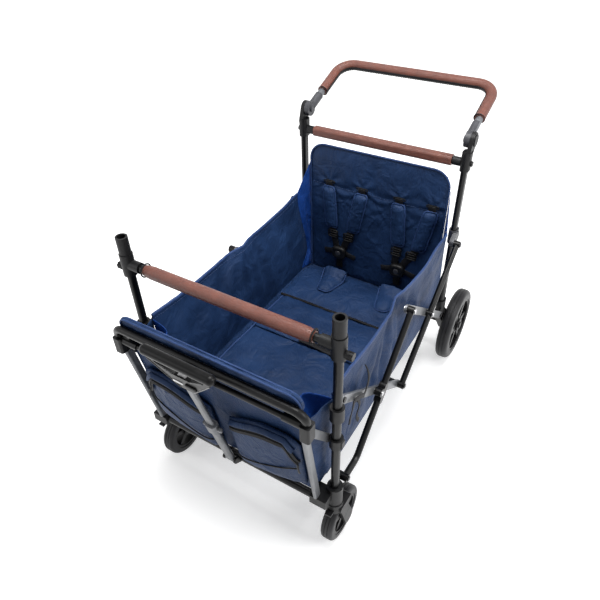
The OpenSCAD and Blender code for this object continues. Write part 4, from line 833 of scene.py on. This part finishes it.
for name, y0, y1 in MATS:
    u, v = span(90, 60, across=(-1, 1))
    x, y = u * (MAT_HALF - 1), y0 + 1 + v * (y1 - y0 - 2)
    mat = slab_piece("mat_" + name, xyz(x, y, mat_top(x, y, y0, y1)), xyz(x, y, MAT_Z), *TUB_NAVY)

    def held(p, y0=y0, y1=y1):
        """Hold on the underside, the rim and, but for the seat, the two lines under the cords."""
        rim = np.minimum(MAT_HALF - np.abs(p[:, 0]), np.minimum(p[:, 1] - y0, y1 - p[:, 1]))
        sewn = np.exp(-((np.abs(p[:, 0]) - CORD_X) / 4) ** 2) if y0 < 0 else 0
        return np.maximum.reduce([p[:, 2] < MAT_Z + 2, rim < 5, sewn + 0 * rim])

    stuff(mat, 4.0, held, axes=(0, 1))
    crease(mat, lambda p, n: np.where(n[:, 2] > 0.3, mat_wrinkles(p[:, 0], p[:, 1]), 0))
    if name == "front":
        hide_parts("floor_mat")
    folds_away(mat)
print("mats:", [m[0] for m in MATS])

# %% [markdown]
# Cord piping runs along the mat's two long edges, black binding closes the front of the seat section, and a
# short strap lies over the middle seam.

# %% Mat piping, binding and strap
UP = [0, 0, 1]
line = np.linspace(-406, 164, 120)
for name, side in SIDES:
    ahead, behind = [mat_top(CORD_X + 0 * line, line, y0, y1) for _, y0, y1 in MATS[:2]]
    z = np.where(line < MAT_SEAMS[0], ahead, behind)
    cord_path = xyz(side * (CORD_X + 1.2 * np.sin(line / 31)), line, np.maximum(z, 285.5) + 1.0)
    folds_away(piping("mat_piping_" + name, cord_path, UP, *TUB_PIPE, r=2.8))
across = np.linspace(-244, 244, 90)
bind = xyz(across, MAT_SEAMS[1] + 0.8 * np.sin(across / 37),
           286.2 + 1.2 * np.sqrt(np.clip(1 - (across / 246) ** 4, 0, 1)))
folds_away(swept_piece("seat_binding", bind, strap_profile(11, 3.2), UP, *TUB_BELT),
           stitches("seat_binding_stitch", bind + [0, 3.2, 1.5], UP, "front_frame", THREAD, "webbing"))
across = np.linspace(-58, 77, 40)
strap = xyz(across, -6 - 4 * np.sin(across / 50), 290.4 + 1.6 * np.exp(-((across - 10) / 30) ** 2))
folds_away(swept_piece("mat_strap", strap, strap_profile(22, 2.6), UP, *TUB_BELT))
print("mat trimmed")

# %% [markdown]
# ## Backrest
# The back is one padded board in the same canvas, with round upper corners and a piped border. A sewn line
# runs up its middle and another across under the headrest roll. The harness straps pass through four bound
# slots, and the cover is drawn into short creases round each of them.

# %% Shape of the back
BACK_Y, BACK_LOW, BACK_TOP, BACK_HALF, CORNER = 398.0, 279.0, 780.0, 244.0, 55.0
ROLL_Z, SLOT_Z = 640.0, 655.0
SLOT_X = (-164, -41, 90, 200)
# Each drape: x where it starts and ends, how far it hangs down and its size.
DRAPES = ((-164, -41, 30, 1.0), (-41, 90, 22, 1.4), (90, 200, 36, 0.8), (-164, 90, 74, 0.7), (-20, 200, 96, 0.8))
FORWARD = [0, -1, 0]


def back_half(z):
    """Half width at a height: straight sides and quarter-round upper corners."""
    h = np.clip(z - (BACK_TOP - CORNER), 0, CORNER)
    return BACK_HALF - CORNER + np.sqrt(CORNER ** 2 - h ** 2)


def line_dip(t, c, w):
    """Bell of unit height about c."""
    return np.exp(-((t - c) / w) ** 2)


def back_depth(u, v):
    """Thickness of the back over its face, dipped along the two sewn lines."""
    full = 14 * dome(2 * u - 1, 2 * v - 1, 4, 4)
    return 6 + full * (1 - 0.3 * line_dip(u, 0.5, 0.03)) * (1 - 0.25 * line_dip(v, 0.72, 0.02))


def back_face(x, z):
    """Y of the back's face at x and z."""
    v = np.clip((z - BACK_LOW) / (BACK_TOP - BACK_LOW), 0, 1)
    return BACK_Y - 0.3 - back_depth(np.clip(0.5 + x / back_half(z) / 2, 0, 1), v)


def on_back(x, z, lift):
    """Points at x and z, lifted from the back's face towards the front."""
    return xyz(x, back_face(x, z) - lift, z)


def back_seams(p):
    """Hold on the border, the rear face, the sewn lines and the slots."""
    x, y, z = p.T
    rim = np.minimum(back_half(z) - np.abs(x), np.minimum(z - BACK_LOW, BACK_TOP - z))
    slots = sum(np.exp(-((x - a) / 16) ** 2 - ((z - SLOT_Z) / 5) ** 2) for a in SLOT_X)
    sewn = 0.9 * line_dip(x, 0, 5) * (z < ROLL_Z) + 0.9 * line_dip(z, ROLL_Z, 5)
    return np.maximum.reduce([(rim < 7) * 1.0, (y > BACK_Y - 2) * 1.0, slots, sewn])


def drape(x, z, a, b, sag, width):
    """Fold that hangs from one slot to the next: bell across a half sine that dips by sag."""
    s = np.clip((x - a) / (b - a), 0, 1)
    return np.sin(np.pi * s) ** 0.7 * np.exp(-((z - SLOT_Z + 5 + sag * np.sin(np.pi * s)) / width) ** 2)


def back_creases(p, n):
    """Creases: fans about the slots, folds hung between them, pulls along the seam and a soft crumple."""
    x, _, z = p.T
    rise = 1.5 * ripples(x, 0.6 * z, 21, low=60, high=200) * (1 - ease(z, 620, 720))
    rise += 2.6 * wrinkles(x, 0.7 * z, 24, low=80, high=180) * (1 - ease(z, 620, 700))
    for a in SLOT_X:
        rise += 2.2 * fan(x, z, a, SLOT_Z, 60, 28)
    for a, b, sag, size in DRAPES:
        rise += size * (1.9 * drape(x, z, a, b, sag, 11) - 2.2 * drape(x, z, a, b, sag + 20, 10))
    rise += 0.8 * np.sin(x / 5.2 + 2 * np.sin(x / 41)) * line_dip(z, ROLL_Z, 16)
    return rise * (n[:, 1] < -0.3)


print("back", BACK_TOP - BACK_LOW, "high with slots at", SLOT_X)

# %% Backrest pad
u, v = span(100, 100)
z = BACK_LOW + v * (BACK_TOP - 1.5 - BACK_LOW)
x = (2 * u - 1) * (back_half(z) - 1)
front = xyz(x, BACK_Y - np.maximum(back_depth(u, v) - 3, 4.5), z)
backrest = slab_piece("backrest_pad", front, xyz(x, BACK_Y, z), *BACK_NAVY)
stuff(backrest, 5.0, back_seams)
crease(backrest, back_creases)
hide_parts("backrest")
straight = np.stack([np.full(60, BACK_HALF), np.linspace(BACK_LOW + 4, BACK_TOP - CORNER, 60)], -1)
outline = mirrored(np.r_[straight, arc(BACK_HALF - CORNER, BACK_TOP - CORNER, CORNER, 14)[1:]])
border = resample(xyz(outline[:, 0] * 0.988, BACK_Y - 8.5, outline[:, 1] - 2.5), 8)
piping("backrest_piping", border, FORWARD, *BACK_PIPE, r=3.0)
stitches("backrest_stitch", on_back(np.linspace(-228, 228, 120), ROLL_Z, -1.6), FORWARD, *BACK_THREAD)
print("backrest", [round(d, 3) for d in backrest.dimensions])

# %% [markdown]
# ## Front panel and pockets
# The front panel leans out to the hoop. Behind and above the hoop it ends in a padded band with round
# corners, whose two edges are piped. The panel is a loose sheet, and the band is stuffed like the pads.

# %% Front panel
FRONT_HALF, PANEL_LOW, BAND_LOW, PANEL_TOP, BAND_ROUND = 246.0, 264.0, 612.0, 677.0, 26.0
PANEL_LEAN, PANEL_T = math.radians(8.5), 4


def panel_y(z):
    """Leaning plane of the front panel."""
    return -436 - (z - 250) * math.tan(PANEL_LEAN)


def panel_half(z):
    """Half width: straight, then spread by 12 above the hinge blocks, with quarter-round upper corners."""
    h = np.clip(z - (PANEL_TOP - BAND_ROUND), 0, BAND_ROUND)
    return FRONT_HALF + 12 * ease(z, 605, 641) - BAND_ROUND + np.sqrt(BAND_ROUND ** 2 - h ** 2)


u, v = span(110, 80, across=(-1, 1))
z = PANEL_LOW + v * (BAND_LOW + 22 - PANEL_LOW)
x = u * (panel_half(z) - 0.5)
slack = np.sin(np.pi * v) * (2.2 * np.sin(2 * np.pi * u) ** 2 + 1.2 * (1 + ripples(x, z, 31, low=60, high=190)))
sheet_y = panel_y(z) + 1.2 + slack
panel = slab_piece("front_panel_cloth", xyz(x, sheet_y, z), xyz(x, sheet_y + PANEL_T, z), *TUB_NAVY)
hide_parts("front_panel")
print("front panel", [round(d, 3) for d in panel.dimensions])

# %% Padded band above the hoop
def band_crumple(p, n):
    """Small crumple on the top and the inner face of the band."""
    free = (p[:, 2] > 655) | (n[:, 1] > 0.2)
    return np.where(free, 0.8 * ripples(p[:, 0], 2 * p[:, 2], 17, low=22, high=90), 0)


u, v = span(130, 26, across=(-1, 1))
z = BAND_LOW + v * (PANEL_TOP - 1.5 - BAND_LOW)
x = u * (panel_half(z) - 1)
swell = dome(u, 2 * v - 1, 12, 6)
band = slab_piece("front_band_pad", xyz(x, panel_y(z) + 1.0 - 2.5 * ease(z, 655, 668), z),
                  xyz(x, panel_y(z) + 7 + 7 * swell, z), *TUB_NAVY)
stuff(band, 2.0, lambda p: ((p[:, 1] < panel_y(p[:, 2]) + 2.5) & (p[:, 2] < 656)) * 1.0)
crease(band, band_crumple)
rise = np.linspace(622, 650, 6)
outline = mirrored(np.r_[np.stack([panel_half(rise), rise], -1), arc(232, PANEL_TOP - BAND_ROUND, BAND_ROUND, 10)])
x, z = outline.T
for name, depth, sunk in (("front", 0.2, 2.5), ("back", 11.0, 3.5)):
    edge = xyz(x - 5.5 * np.sign(x) * ease(np.abs(x), 200, 240), panel_y(z) + depth, z - sunk)
    piping("band_piping_" + name, resample(edge, 7), [0, 0.3, 1], *TUB_PIPE)
print("band", [round(d, 3) for d in band.dimensions])

# %% [markdown]
# Each pocket is a bag whose mouth rises to the outer side and is closed by a broad zip under a small flap.
# The bag bulges like a stuffed pad, so it is blown up by simulation too; zip, seam cord and pull lie on it.

# %% Shape of a pocket
POCKET_IN, POCKET_W, POCKET_T = 28.0, 212.0, 38.0


def pocket_z(out, v):
    """Height on a pocket: out runs from its inner to its outer side, v from its foot to its mouth."""
    low = 264 + 33 * np.clip(out, 0, 1) ** 1.5
    return low + v * (452 + 54 * ease(out, -0.15, 0.62) - 26 * ease(out, 0.84, 1.06) - low)


def on_pocket(side, out, v, lift=0.0):
    """Point on a pocket's face: a boxy dome over its outline that grows flatter to the outer side."""
    out, v = np.broadcast_arrays(np.asarray(out, float), np.asarray(v, float))
    z = pocket_z(out, v)
    full = (POCKET_T - 8) * dome(2 * out - 1, 2 * v - 1, 6, 6)
    rise = 4 + full * (1 - 0.3 * v) * (1 - 0.35 * out ** 2)
    return xyz(side * (POCKET_IN + out * POCKET_W), panel_y(z) - rise - lift, z)


def pocket_seams(p):
    """Hold on the rim, the rear face and the zip line."""
    out = (np.abs(p[:, 0]) - POCKET_IN) / POCKET_W
    low, high = pocket_z(out, 0), pocket_z(out, 1)
    v = (p[:, 2] - low) / (high - low)
    rim = np.minimum(np.minimum(out, 1 - out) * POCKET_W, np.minimum(v, 1 - v) * (high - low))
    rear = p[:, 1] > panel_y(p[:, 2]) - 3.5
    return np.maximum.reduce([(rim < 5) * 1.0, rear * 1.0, line_dip(v, 0.88, 0.04)])


def pocket_wrinkles(p, n):
    """Slow sag, small crumples, and pulls down from the zip."""
    x, _, z = p.T
    out = (np.abs(x) - POCKET_IN) / POCKET_W
    sag = 1.5 * ripples(x, 0.6 * z, 41, low=60, high=150) + 2.0 * wrinkles(x, z, 43, low=60, high=140)
    pulls = 0.7 * np.sin(x / 6.5 + 2 * np.sin(x / 29)) * line_dip(z, pocket_z(out, 0.8), 22)
    return (sag + pulls) * (n[:, 1] < -0.2)


print("pocket", POCKET_W, "wide and", POCKET_T, "deep")

# %% Zip pockets
FACE_UP, FLAP_UP, SEAM_UP = np.array([0, -0.92, 0.39]), [0, -0.75, 0.66], [0, -1, 0.2]
s = np.linspace(0, 1, 70)
mouth = 0.885 - 0.26 * ease(s, 0.82, 1.0)
low_seam = 0.27 + 0.20 * s ** 1.4 - 0.05 * np.sin(np.pi * s)
for name, side in SIDES:
    out, v = span(80, 76, (0.005, 0.995), (0.005, 0.995))
    face = on_pocket(side, out, v)
    rear = xyz(face[..., 0], panel_y(face[..., 2]) - 0.6, face[..., 2])
    pocket = slab_piece("pocket_" + name, face, rear, *TUB_NAVY)
    stuff(pocket, 4.0, pocket_seams)
    crease(pocket, pocket_wrinkles)
    if side < 0:
        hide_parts("front_pockets")
    tape = on_pocket(side, 0.05 + 0.91 * s, mouth, 2.6)
    swept_piece("zip_tape_" + name, tape, strap_profile(19, 2.6), FACE_UP, *TUB_TAPE)
    stitches("zip_teeth_" + name, on_pocket(side, 0.06 + 0.89 * s, mouth, 4.2), FACE_UP, *TUB_BLACK,
             pitch=3.0, length=2.4, r=1.5, sink=0.5)
    flap = on_pocket(side, 0.04 + 0.88 * s, 0.955 - 0.10 * ease(s, 0.86, 1.0), 3.4)
    swept_piece("zip_flap_" + name, flap, strap_profile(15, 4.0), FLAP_UP, *TUB_NAVY)
    piping("pocket_piping_" + name, on_pocket(side, 0.05 + 0.88 * s, low_seam, 3.2), SEAM_UP, *TUB_TAPE, r=1.9)
    fall = np.linspace(0, 1, 12)
    pull = on_pocket(side, 0.955, 0.62, 6.0) + xyz(side * 6 * fall, -3 * np.sin(2.6 * fall), -30 * fall)
    swept_piece("zip_pull_" + name, pull, strap_profile(7, 2.6), SEAM_UP, *TUB_BLACK)
print("pockets done")

# %% [markdown]
# ## Corner gussets
# Thin bright nylon closes the four corners and takes up the slack when the wagon folds; canvas covers the
# front ones outside. Folds run from the upper corner of each gusset, deepest in its middle, and the loose
# top of a front one falls into the tub.

# %% Gussets
GUSSET_LOW, GUSSET_H, GUSSET_IN, GUSSET_T = FLOOR_Z + 8, 292, 246.3, 1.2


def side_x(z, top):
    """X of a side's end at a height, where the side ends at the height top."""
    return side_bulge(np.clip((z - SIDE_LOW) / (top - SIDE_LOW), 0, 1))


def front_gusset(fall):
    """From the front panel's edge to the front of the side panel; its loose top falls into the tub by fall."""
    u, v = span(40, 50)
    z = GUSSET_LOW + v * GUSSET_H
    y = panel_y(z) + 3 + u * (SIDE_FRONT - 0.3 - panel_y(z) - 3)
    folds = np.sin(np.pi * u) * (2.6 * np.sin(9 * u + 5 * v) + 1.4 * np.sin(17 * v + 6 * u)) * (0.25 + 0.75 * v)
    loose = np.sin(np.pi * u) * ease(v, 0.5, 1.0)
    x = GUSSET_IN + u * (side_x(z, side_edge(SIDE_FRONT)) - GUSSET_IN) - fall * loose + folds
    return xyz(x, y + 0.4 * fall * loose, z - 0.07 * fall * loose)


def rear_gusset():
    """From the backrest's edge to the rear end of the side panel."""
    u, v = span(40, 60)
    side_end = side_edge(np.array(SIDE_BACK))
    z = GUSSET_LOW + v * (BACK_TOP - 65 + u * (side_end - BACK_TOP + 63) - GUSSET_LOW)
    x_back, y_back = back_half(z) - 1.2, BACK_Y - 1.5
    folds = np.sin(np.pi * u) * (2.2 * np.sin(11 * u - 4 * v) + 1.6 * np.sin(8 * v + 9 * u))
    folds = folds * np.sin(np.pi * np.clip(v + 0.12, 0, 1))
    return xyz(x_back + u * (side_x(z, side_end) - x_back) + folds, y_back + u * (side_rear(z) + 0.3 - y_back), z)


flat = front_gusset(0)
outside = flat + 2.6 * grid_normals(flat)
for name, side in SIDES:
    hand = [side, 1, 1]
    ahead = cloth_piece("gusset_front_" + name, front_gusset(56) * hand, -GUSSET_T * side, *TUB_NYLON)
    behind = cloth_piece("gusset_rear_" + name, rear_gusset() * hand, GUSSET_T * side, *TUB_NYLON)
    if side < 0:
        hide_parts("corner_gussets")
    cover = cloth_piece("gusset_cover_" + name, outside * hand, -1.0 * side, *TUB_NAVY)
    folds_away(ahead, cover, behind)
print("gussets done")

# %% [markdown]
# ## Harness
# Four shoulder pads hang in two pairs from the slots, each a stuffed strip with piped edges over a black
# web. The webs of a pair run down to one buckle, and a stuffed tongue rises from the seat to meet it.

# %% Shoulder pads
SHOULDERS = tuple(zip((-150, -69, 102, 172), SLOT_X))
SHOULDER_Z, SHOULDER_L, SHOULDER_W = 486.0, 154.0, 48.0
CROTCH_X = (-116.0, 110.0)


def shoulder_at(foot, head, s, t):
    """Point over the backrest of a shoulder pad: s across and t along, both from -1 to 1."""
    z = SHOULDER_Z + (t + 1) / 2 * SHOULDER_L
    return foot + (head - foot) * (t + 1) / 2 + s * SHOULDER_W / 2, z


def pad_creases(p, n, number):
    """Fine crumple and short ridges on the free face of a shoulder pad."""
    x, _, z = p.T
    fine = 0.4 * ripples(x, z, 51 + number, low=16, high=60)
    return (fine + wrinkles(x, 1.6 * z, 81 + 2 * number, 26, 70)) * (n[:, 1] < 0)


def signed_power(v, power):
    """Power of the size of v with the sign of v."""
    return np.sign(v) * np.abs(v) ** power


for number, (foot, head) in enumerate(SHOULDERS):
    s, t = span(40, 90, (-1, 1), (-1, 1))
    narrow = (1 - np.abs(t) ** 14) ** 0.4
    x, z = shoulder_at(foot, head, s * narrow * 0.94, t * 0.98)
    thick = 3.5 + 11 * dome(s, t, 2, 12)
    base = back_face(x, z) - 1.5
    pad = slab_piece(f"shoulder_pad_{number}", xyz(x, base - thick, z), xyz(x, base, z), *BACK_NAVY)
    stuff(pad, 3.0, lambda p: (p[:, 1] > back_face(p[:, 0], p[:, 2]) - 4) * 1.0, voxel=4.0)
    crease(pad, lambda p, n: pad_creases(p, n, number))
    a = np.linspace(0, 2 * np.pi, 100, endpoint=False)
    x, z = shoulder_at(foot, head, signed_power(np.cos(a), 0.3) * 0.98, signed_power(np.sin(a), 0.3))
    piping(f"shoulder_piping_{number}", resample(on_back(x, z, 4.5), 5, closed=True), FORWARD, *BACK_PIPE,
           r=2.4, closed=True)
    if number == 0:
        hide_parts("harness_pads")
print("shoulder pads:", len(SHOULDERS))

# %% Crotch pads
def crotch_at(cx, u, v, h):
    """Tongue from its round tip (v = 0) to the backrest (v = 1), where it turns up; h is height over the seat."""
    tip = np.sqrt(1 - (1 - np.minimum(1, v / 0.26)) ** 2)
    w = 6 + 52 * tip + 36 * ease(v, 0.1, 0.9)
    return xyz(cx + (u - 0.5) * w, 243 + v * 112, 294.5 + 30 * ease(v, 0.55, 1) ** 2 + h)


for number, cx in enumerate(CROTCH_X):
    u, v = span(50, 70, (0.03, 0.97), (0.02, 0.99))
    thick = 4 + 12 * dome(2 * u - 1, 2 * v - 1, 2, 6)
    pad = slab_piece(f"crotch_pad_{number}", crotch_at(cx, u, v, thick), crotch_at(cx, u, v, 0), *BACK_NAVY)
    stuff(pad, 3.5, lambda p: (p[:, 2] < 296.5) * 1.0, voxel=4.0, axes=(0, 1))
    crease(pad, lambda p, n: 0.7 * ripples(p[:, 0], p[:, 1], 61 + number, low=18, high=70) * (n[:, 2] > 0))
    v = np.linspace(0.9, 0.02, 50)
    rim = np.r_[crotch_at(cx, 0.02, v, 4.5), crotch_at(cx, 0.98, v, 4.5)[::-1]]
    piping(f"crotch_piping_{number}", resample(rim, 5), UP, *BACK_PIPE, r=2.2)
print("harness pads done")

# %% [markdown]
# The webs are flat strips that follow the back's face, with a ladder adjuster under each pad. The buckles are
# lofted from a rounded outline and carry a round release button.

# %% Lofts, rings and webs
BUCKLE_Z, WEB_GAP, WEB_T = 390.0, 27, 2.4
BACK_AXES = ((1, 0, 0), (0, 0, 1), (0, -1, 0))


def lofted_piece(name, outline, stations, origin, axes, body, finish, slot):
    """Closed form from one outline at several (scale, depth) stations along three axes: across, up and out."""
    axes = unit(np.stack(axes).astype(float))
    n = len(outline)
    P = np.concatenate([np.c_[outline * scale, np.full(n, depth)] @ axes + origin for scale, depth in stations])
    return make_piece(name, P, tube_faces(n, len(stations)), body, finish)


def superellipse(w, h, power):
    """Rounded rectangle |2x/w|^power + |2y/h|^power = 1."""
    a = np.linspace(0, 2 * np.pi, 40, endpoint=False)
    return np.stack([signed_power(np.cos(a), 2 / power) * w / 2, signed_power(np.sin(a), 2 / power) * h / 2], -1)


def back_ring(name, w, h, power, centre, r, body, finish, slot):
    """Round wire bent to a rounded rectangle that faces the front."""
    x, z = superellipse(w, h, power).T
    path = xyz(x, 0, z) + centre
    return swept_piece(name, path, round_profile(r), FORWARD, body, finish, slot, closed=True)


def back_strap(name, start, stop, width=25.0, lift=2.4, count=30):
    """Web on the back's face from one (x, z) to another."""
    s = np.linspace(0, 1, count)
    x, z = start[0] + s * (stop[0] - start[0]), start[1] + s * (stop[1] - start[1])
    path = xyz(x, back_face(x, z) - lift - 1.2 * np.sin(np.pi * s), z)
    return swept_piece(name, path, strap_profile(width, WEB_T), FORWARD, *BACK_BELT)


print("web tools ready")

# %% Webs and adjusters
for number, (foot, head) in enumerate(SHOULDERS):
    low_x = CROTCH_X[number // 2] + (number % 2 - 0.5) * WEB_GAP
    web = back_strap(f"shoulder_web_{number}", (low_x, BUCKLE_Z + 20), (foot, SHOULDER_Z + 8))
    if number == 0:
        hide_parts("harness_webbing")
    back_strap(f"slot_web_{number}", (head, SHOULDER_Z + SHOULDER_L - 6), (head, SLOT_Z + 5), count=12)
    x, z = low_x + 0.62 * (foot - low_x), BUCKLE_Z + 20 + 0.62 * (SHOULDER_Z - BUCKLE_Z - 12)
    centre = on_back(x, z, 7)
    back_ring(f"adjuster_{number}", 36, 27, 5, centre, 2.6, *BACK_BLACK)
    for k, dz in enumerate((-5.0, 5.0)):
        rung = xyz(np.linspace(-16, 16, 6), -0.4, dz) + centre
        swept_piece(f"adjuster_rung_{number}_{k}", rung, round_profile(2.2), FORWARD, *BACK_BLACK)
    back_ring(f"slot_binding_{number}", 40, 9, 3, on_back(head, SLOT_Z, 0.6) + [0, 0, 2], 1.7, *BACK_TAPE)
print("webs and adjusters:", len(SHOULDERS))

# %% Buckles
SHELL = ((0.86, -1.0), (1.0, 3.0), (1.0, 11.0), (0.95, 15.5), (0.84, 18.0), (0.5, 19.2), (0.44, 18.2), (0.40, 17.4))
BUTTON = ((1.0, 16.5), (1.0, 18.6), (0.9, 19.6), (0.6, 20.0))
for number, cx in enumerate(CROTCH_X):
    centre = on_back(cx, BUCKLE_Z, 0)
    body = lofted_piece(f"buckle_{number}", superellipse(54, 50, 3.2), SHELL, centre, BACK_AXES, *BACK_BLACK)
    lofted_piece(f"buckle_button_{number}", superellipse(20, 20, 2.2), BUTTON, centre, BACK_AXES, "rear_frame",
                 FINISH["grey_plastic"], "grey_plastic")
    if number == 0:
        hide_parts("harness_buckles")
    for side in (-1, 1):
        back_strap(f"waist_web_{number}_{side + 1}", (cx + side * 20, BUCKLE_Z - 2), (cx + side * 62, BUCKLE_Z - 12),
                   width=22)
    back_strap(f"crotch_web_{number}", (cx, BUCKLE_Z - 20), (cx, 322), lift=4)
print("harness done")

# %% [markdown]
# ## Leather seams and end rings
# The leather is drawn round each bar and closed by a seam. On the push handle the seam is covered by a black
# strip along the inner side of the bend. The strip is a narrow band of the bar's own surface, set out by
# less than a millimetre and stitched along both edges. Dark rings finish the ends of the wraps.

# %% Push handle seam
TILT, PIVOT_Y, PIVOT_Z = math.radians(20.6), 421.0, 874.0
HANDLE_X, HANDLE_REACH, HANDLE_BEND, HANDLE_R, HANDLE_BARE = 261.5, 238.0, 55.0, 15.5, 88.0
STRIP_R = HANDLE_R + 0.7


def on_handle(across, along, above):
    """Point of the push handle's own plane, tilted about its pivot."""
    return xyz(across, PIVOT_Y + along * math.cos(TILT) - above * math.sin(TILT),
               PIVOT_Z + along * math.sin(TILT) + above * math.cos(TILT))


corner = arc(HANDLE_X - HANDLE_BEND, HANDLE_REACH - HANDLE_BEND, HANDLE_BEND, 24)
arm = np.stack([np.full(20, HANDLE_X), np.linspace(HANDLE_BARE + 1, HANDLE_REACH - HANDLE_BEND, 20)], -1)
half_run = np.r_[arm[:-1], corner]
bar_run = np.stack([np.linspace(corner[-1, 0], -corner[-1, 0], 60), np.full(60, HANDLE_REACH)], -1)[1:-1]
run = np.r_[half_run, bar_run, (half_run * [-1, 1])[::-1]]
ahead = unit(np.gradient(run, axis=0))
inner = np.stack([-ahead[:, 1], ahead[:, 0]], -1)


def handle_band(r, angles):
    """Band of the bar's surface at radius r over angles measured from the inner side upwards."""
    flat = run[:, None] + r * np.cos(angles)[None, :, None] * inner[:, None]
    return on_handle(flat[..., 0], flat[..., 1], r * np.sin(angles))


around = np.radians(np.linspace(-52, 10, 12))
slab_piece("push_grip_seam", handle_band(STRIP_R, around), handle_band(HANDLE_R + 0.1, around), "handle", TAPE,
           "webbing")
for angle in (-50, 8):
    row = handle_band(STRIP_R, np.radians([angle]))[:, 0]
    away = unit(row - on_handle(run[:, 0], run[:, 1], 0))
    stitches(f"push_grip_stitch_{angle + 60}", row, away, "handle", DARK_THREAD, "leather", pitch=6.0, length=4.0,
             r=0.6)
print("push handle seam", len(run), "stations")

# %% End rings
FRONT_BAR, FRONT_BAR_R, WIRE = (-402, 757), 16.6, 1.9


def end_ring(name, centre, axis, r, body):
    """Ring round a bar: a circle about the axis carried as a closed cord."""
    axis = np.asarray(axis, float)
    side = unit(np.cross(axis, [0.3, 0.5, 0.8]))
    t = np.linspace(0, 2 * np.pi, 48, endpoint=False)[:, None]
    circle = np.asarray(centre, float) + r * (np.cos(t) * side + np.sin(t) * np.cross(axis, side))
    return swept_piece(name, circle, round_profile(WIRE), axis, body, TAPE, "webbing", closed=True)


for mark, side in SIDES:
    start = on_handle(side * HANDLE_X, HANDLE_BARE + 2.0, 0.0)
    end_ring("push_ring_" + mark, start, (0, math.cos(TILT), math.sin(TILT)), HANDLE_R + 0.3, "handle")
    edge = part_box("front_bar_grip")[0 if side < 0 else 1][0] * 1000
    end_ring("front_bar_ring_" + mark, (edge - 2.2 * side, *FRONT_BAR), (1, 0, 0), FRONT_BAR_R, "front_frame")
print("rings done")

# %% [markdown]
# ## Grip trim
# The yoke of the pull handle is moulded with a raised bead along the edges of its arms. The bead is coloured a
# lighter grey than the yoke, as a painted highlight along those edges. A bright plate and a dark latch cover lie
# on its face below the release. All of them follow the yoke's own plane.

# %% Grip trim
STEM_LEAN, STEM_Y, STEM_Z, BEAD_OUT, YOKE_FACE = math.radians(13.5), -460, 250, 6.9, 7.0
BEADS = (("outer", ((86.5, 454), (86.5, 451), (60, 421), (19, 376))), ("inner", ((67, 448), (46, 437), (25, 425))))
PLATE, LATCH = ((1.0, -0.5), (1.0, 1.2), (0.93, 1.8)), ((1.0, -0.5), (1.0, 2.6), (0.94, 3.8), (0.8, 4.4))


def on_stem(across, along, out):
    """Point in the plane of the pull handle: across, along the stem from its pivot, and out of its face."""
    return xyz(across, STEM_Y - along * math.sin(STEM_LEAN) - out * math.cos(STEM_LEAN),
               STEM_Z + along * math.cos(STEM_LEAN) - out * math.sin(STEM_LEAN))


STEM_UP, STEM_OUT = on_stem(0, 1, 0) - on_stem(0, 0, 0), on_stem(0, 0, 1) - on_stem(0, 0, 0)
STEM_AXES = ((1, 0, 0), STEM_UP, STEM_OUT)
# The bead is the yoke's own gloss black plastic, coloured a lighter grey as a painted highlight along the arm edges.
BEAD_PAINTED_HIGHLIGHT = hard_finish("bead_painted_highlight", (34, 34, 36), (24, 24, 26), 0.16, grain=400.0, depth=0.00002, shine=0.6)
for name, side in SIDES:
    for mark, ends in BEADS:
        edge = np.array([on_stem(side * a, b, BEAD_OUT) for a, b in ends])
        swept_piece(f"yoke_bead_{mark}_{name}", resample(edge, 5), round_profile(1.7), STEM_OUT, "pull_extension",
                    BEAD_PAINTED_HIGHLIGHT, "gloss_plastic")
lofted_piece("grip_plate", superellipse(28, 8, 6), PLATE, on_stem(-19, 398, YOKE_FACE), STEM_AXES, "pull_extension",
             FINISH["steel"], "steel")
lofted_piece("grip_latch", superellipse(30, 15, 5), LATCH, on_stem(18, 399, YOKE_FACE), STEM_AXES, "pull_extension",
             FINISH["black_plastic"], "black_plastic")
print("grip trimmed")

# %% [markdown]
# ## Tie straps
# A short web is sewn to each side near the front collar and hangs over the grey arm with two loose tails;
# it ties the wagon shut when it is folded. The tails are flat strips with a slight twist.

# %% Tie straps
# Each strap: name, start, run, number of half waves and how far they sway.
TIES = (("sewn", (271, -222, 536), (21, -44, -58), 1, (9, 4, 10)),
        ("tail", (293, -304, 502), (-2, 17, -96), 2, (2, 5, 0)),
        ("short", (294, -326, 520), (-1, -18, -68), 2, (2, -4, 0)),
        ("hook", (293, -266, 480), (1, -60, 38), 1, (2, 0, 6)))
s = np.linspace(0, 1, 40)[:, None]
for name, side in SIDES:
    for mark, start, way, waves, sway in TIES:
        path = (np.array(start) + s * np.array(way) + np.sin(waves * np.pi * s) * sway) * [side, 1, 1]
        folds_away(swept_piece(f"tie_{mark}_{name}", path, strap_profile(13, 2.2), [side, 0.15, 0.1], *TUB_BELT))
print("tie straps done")
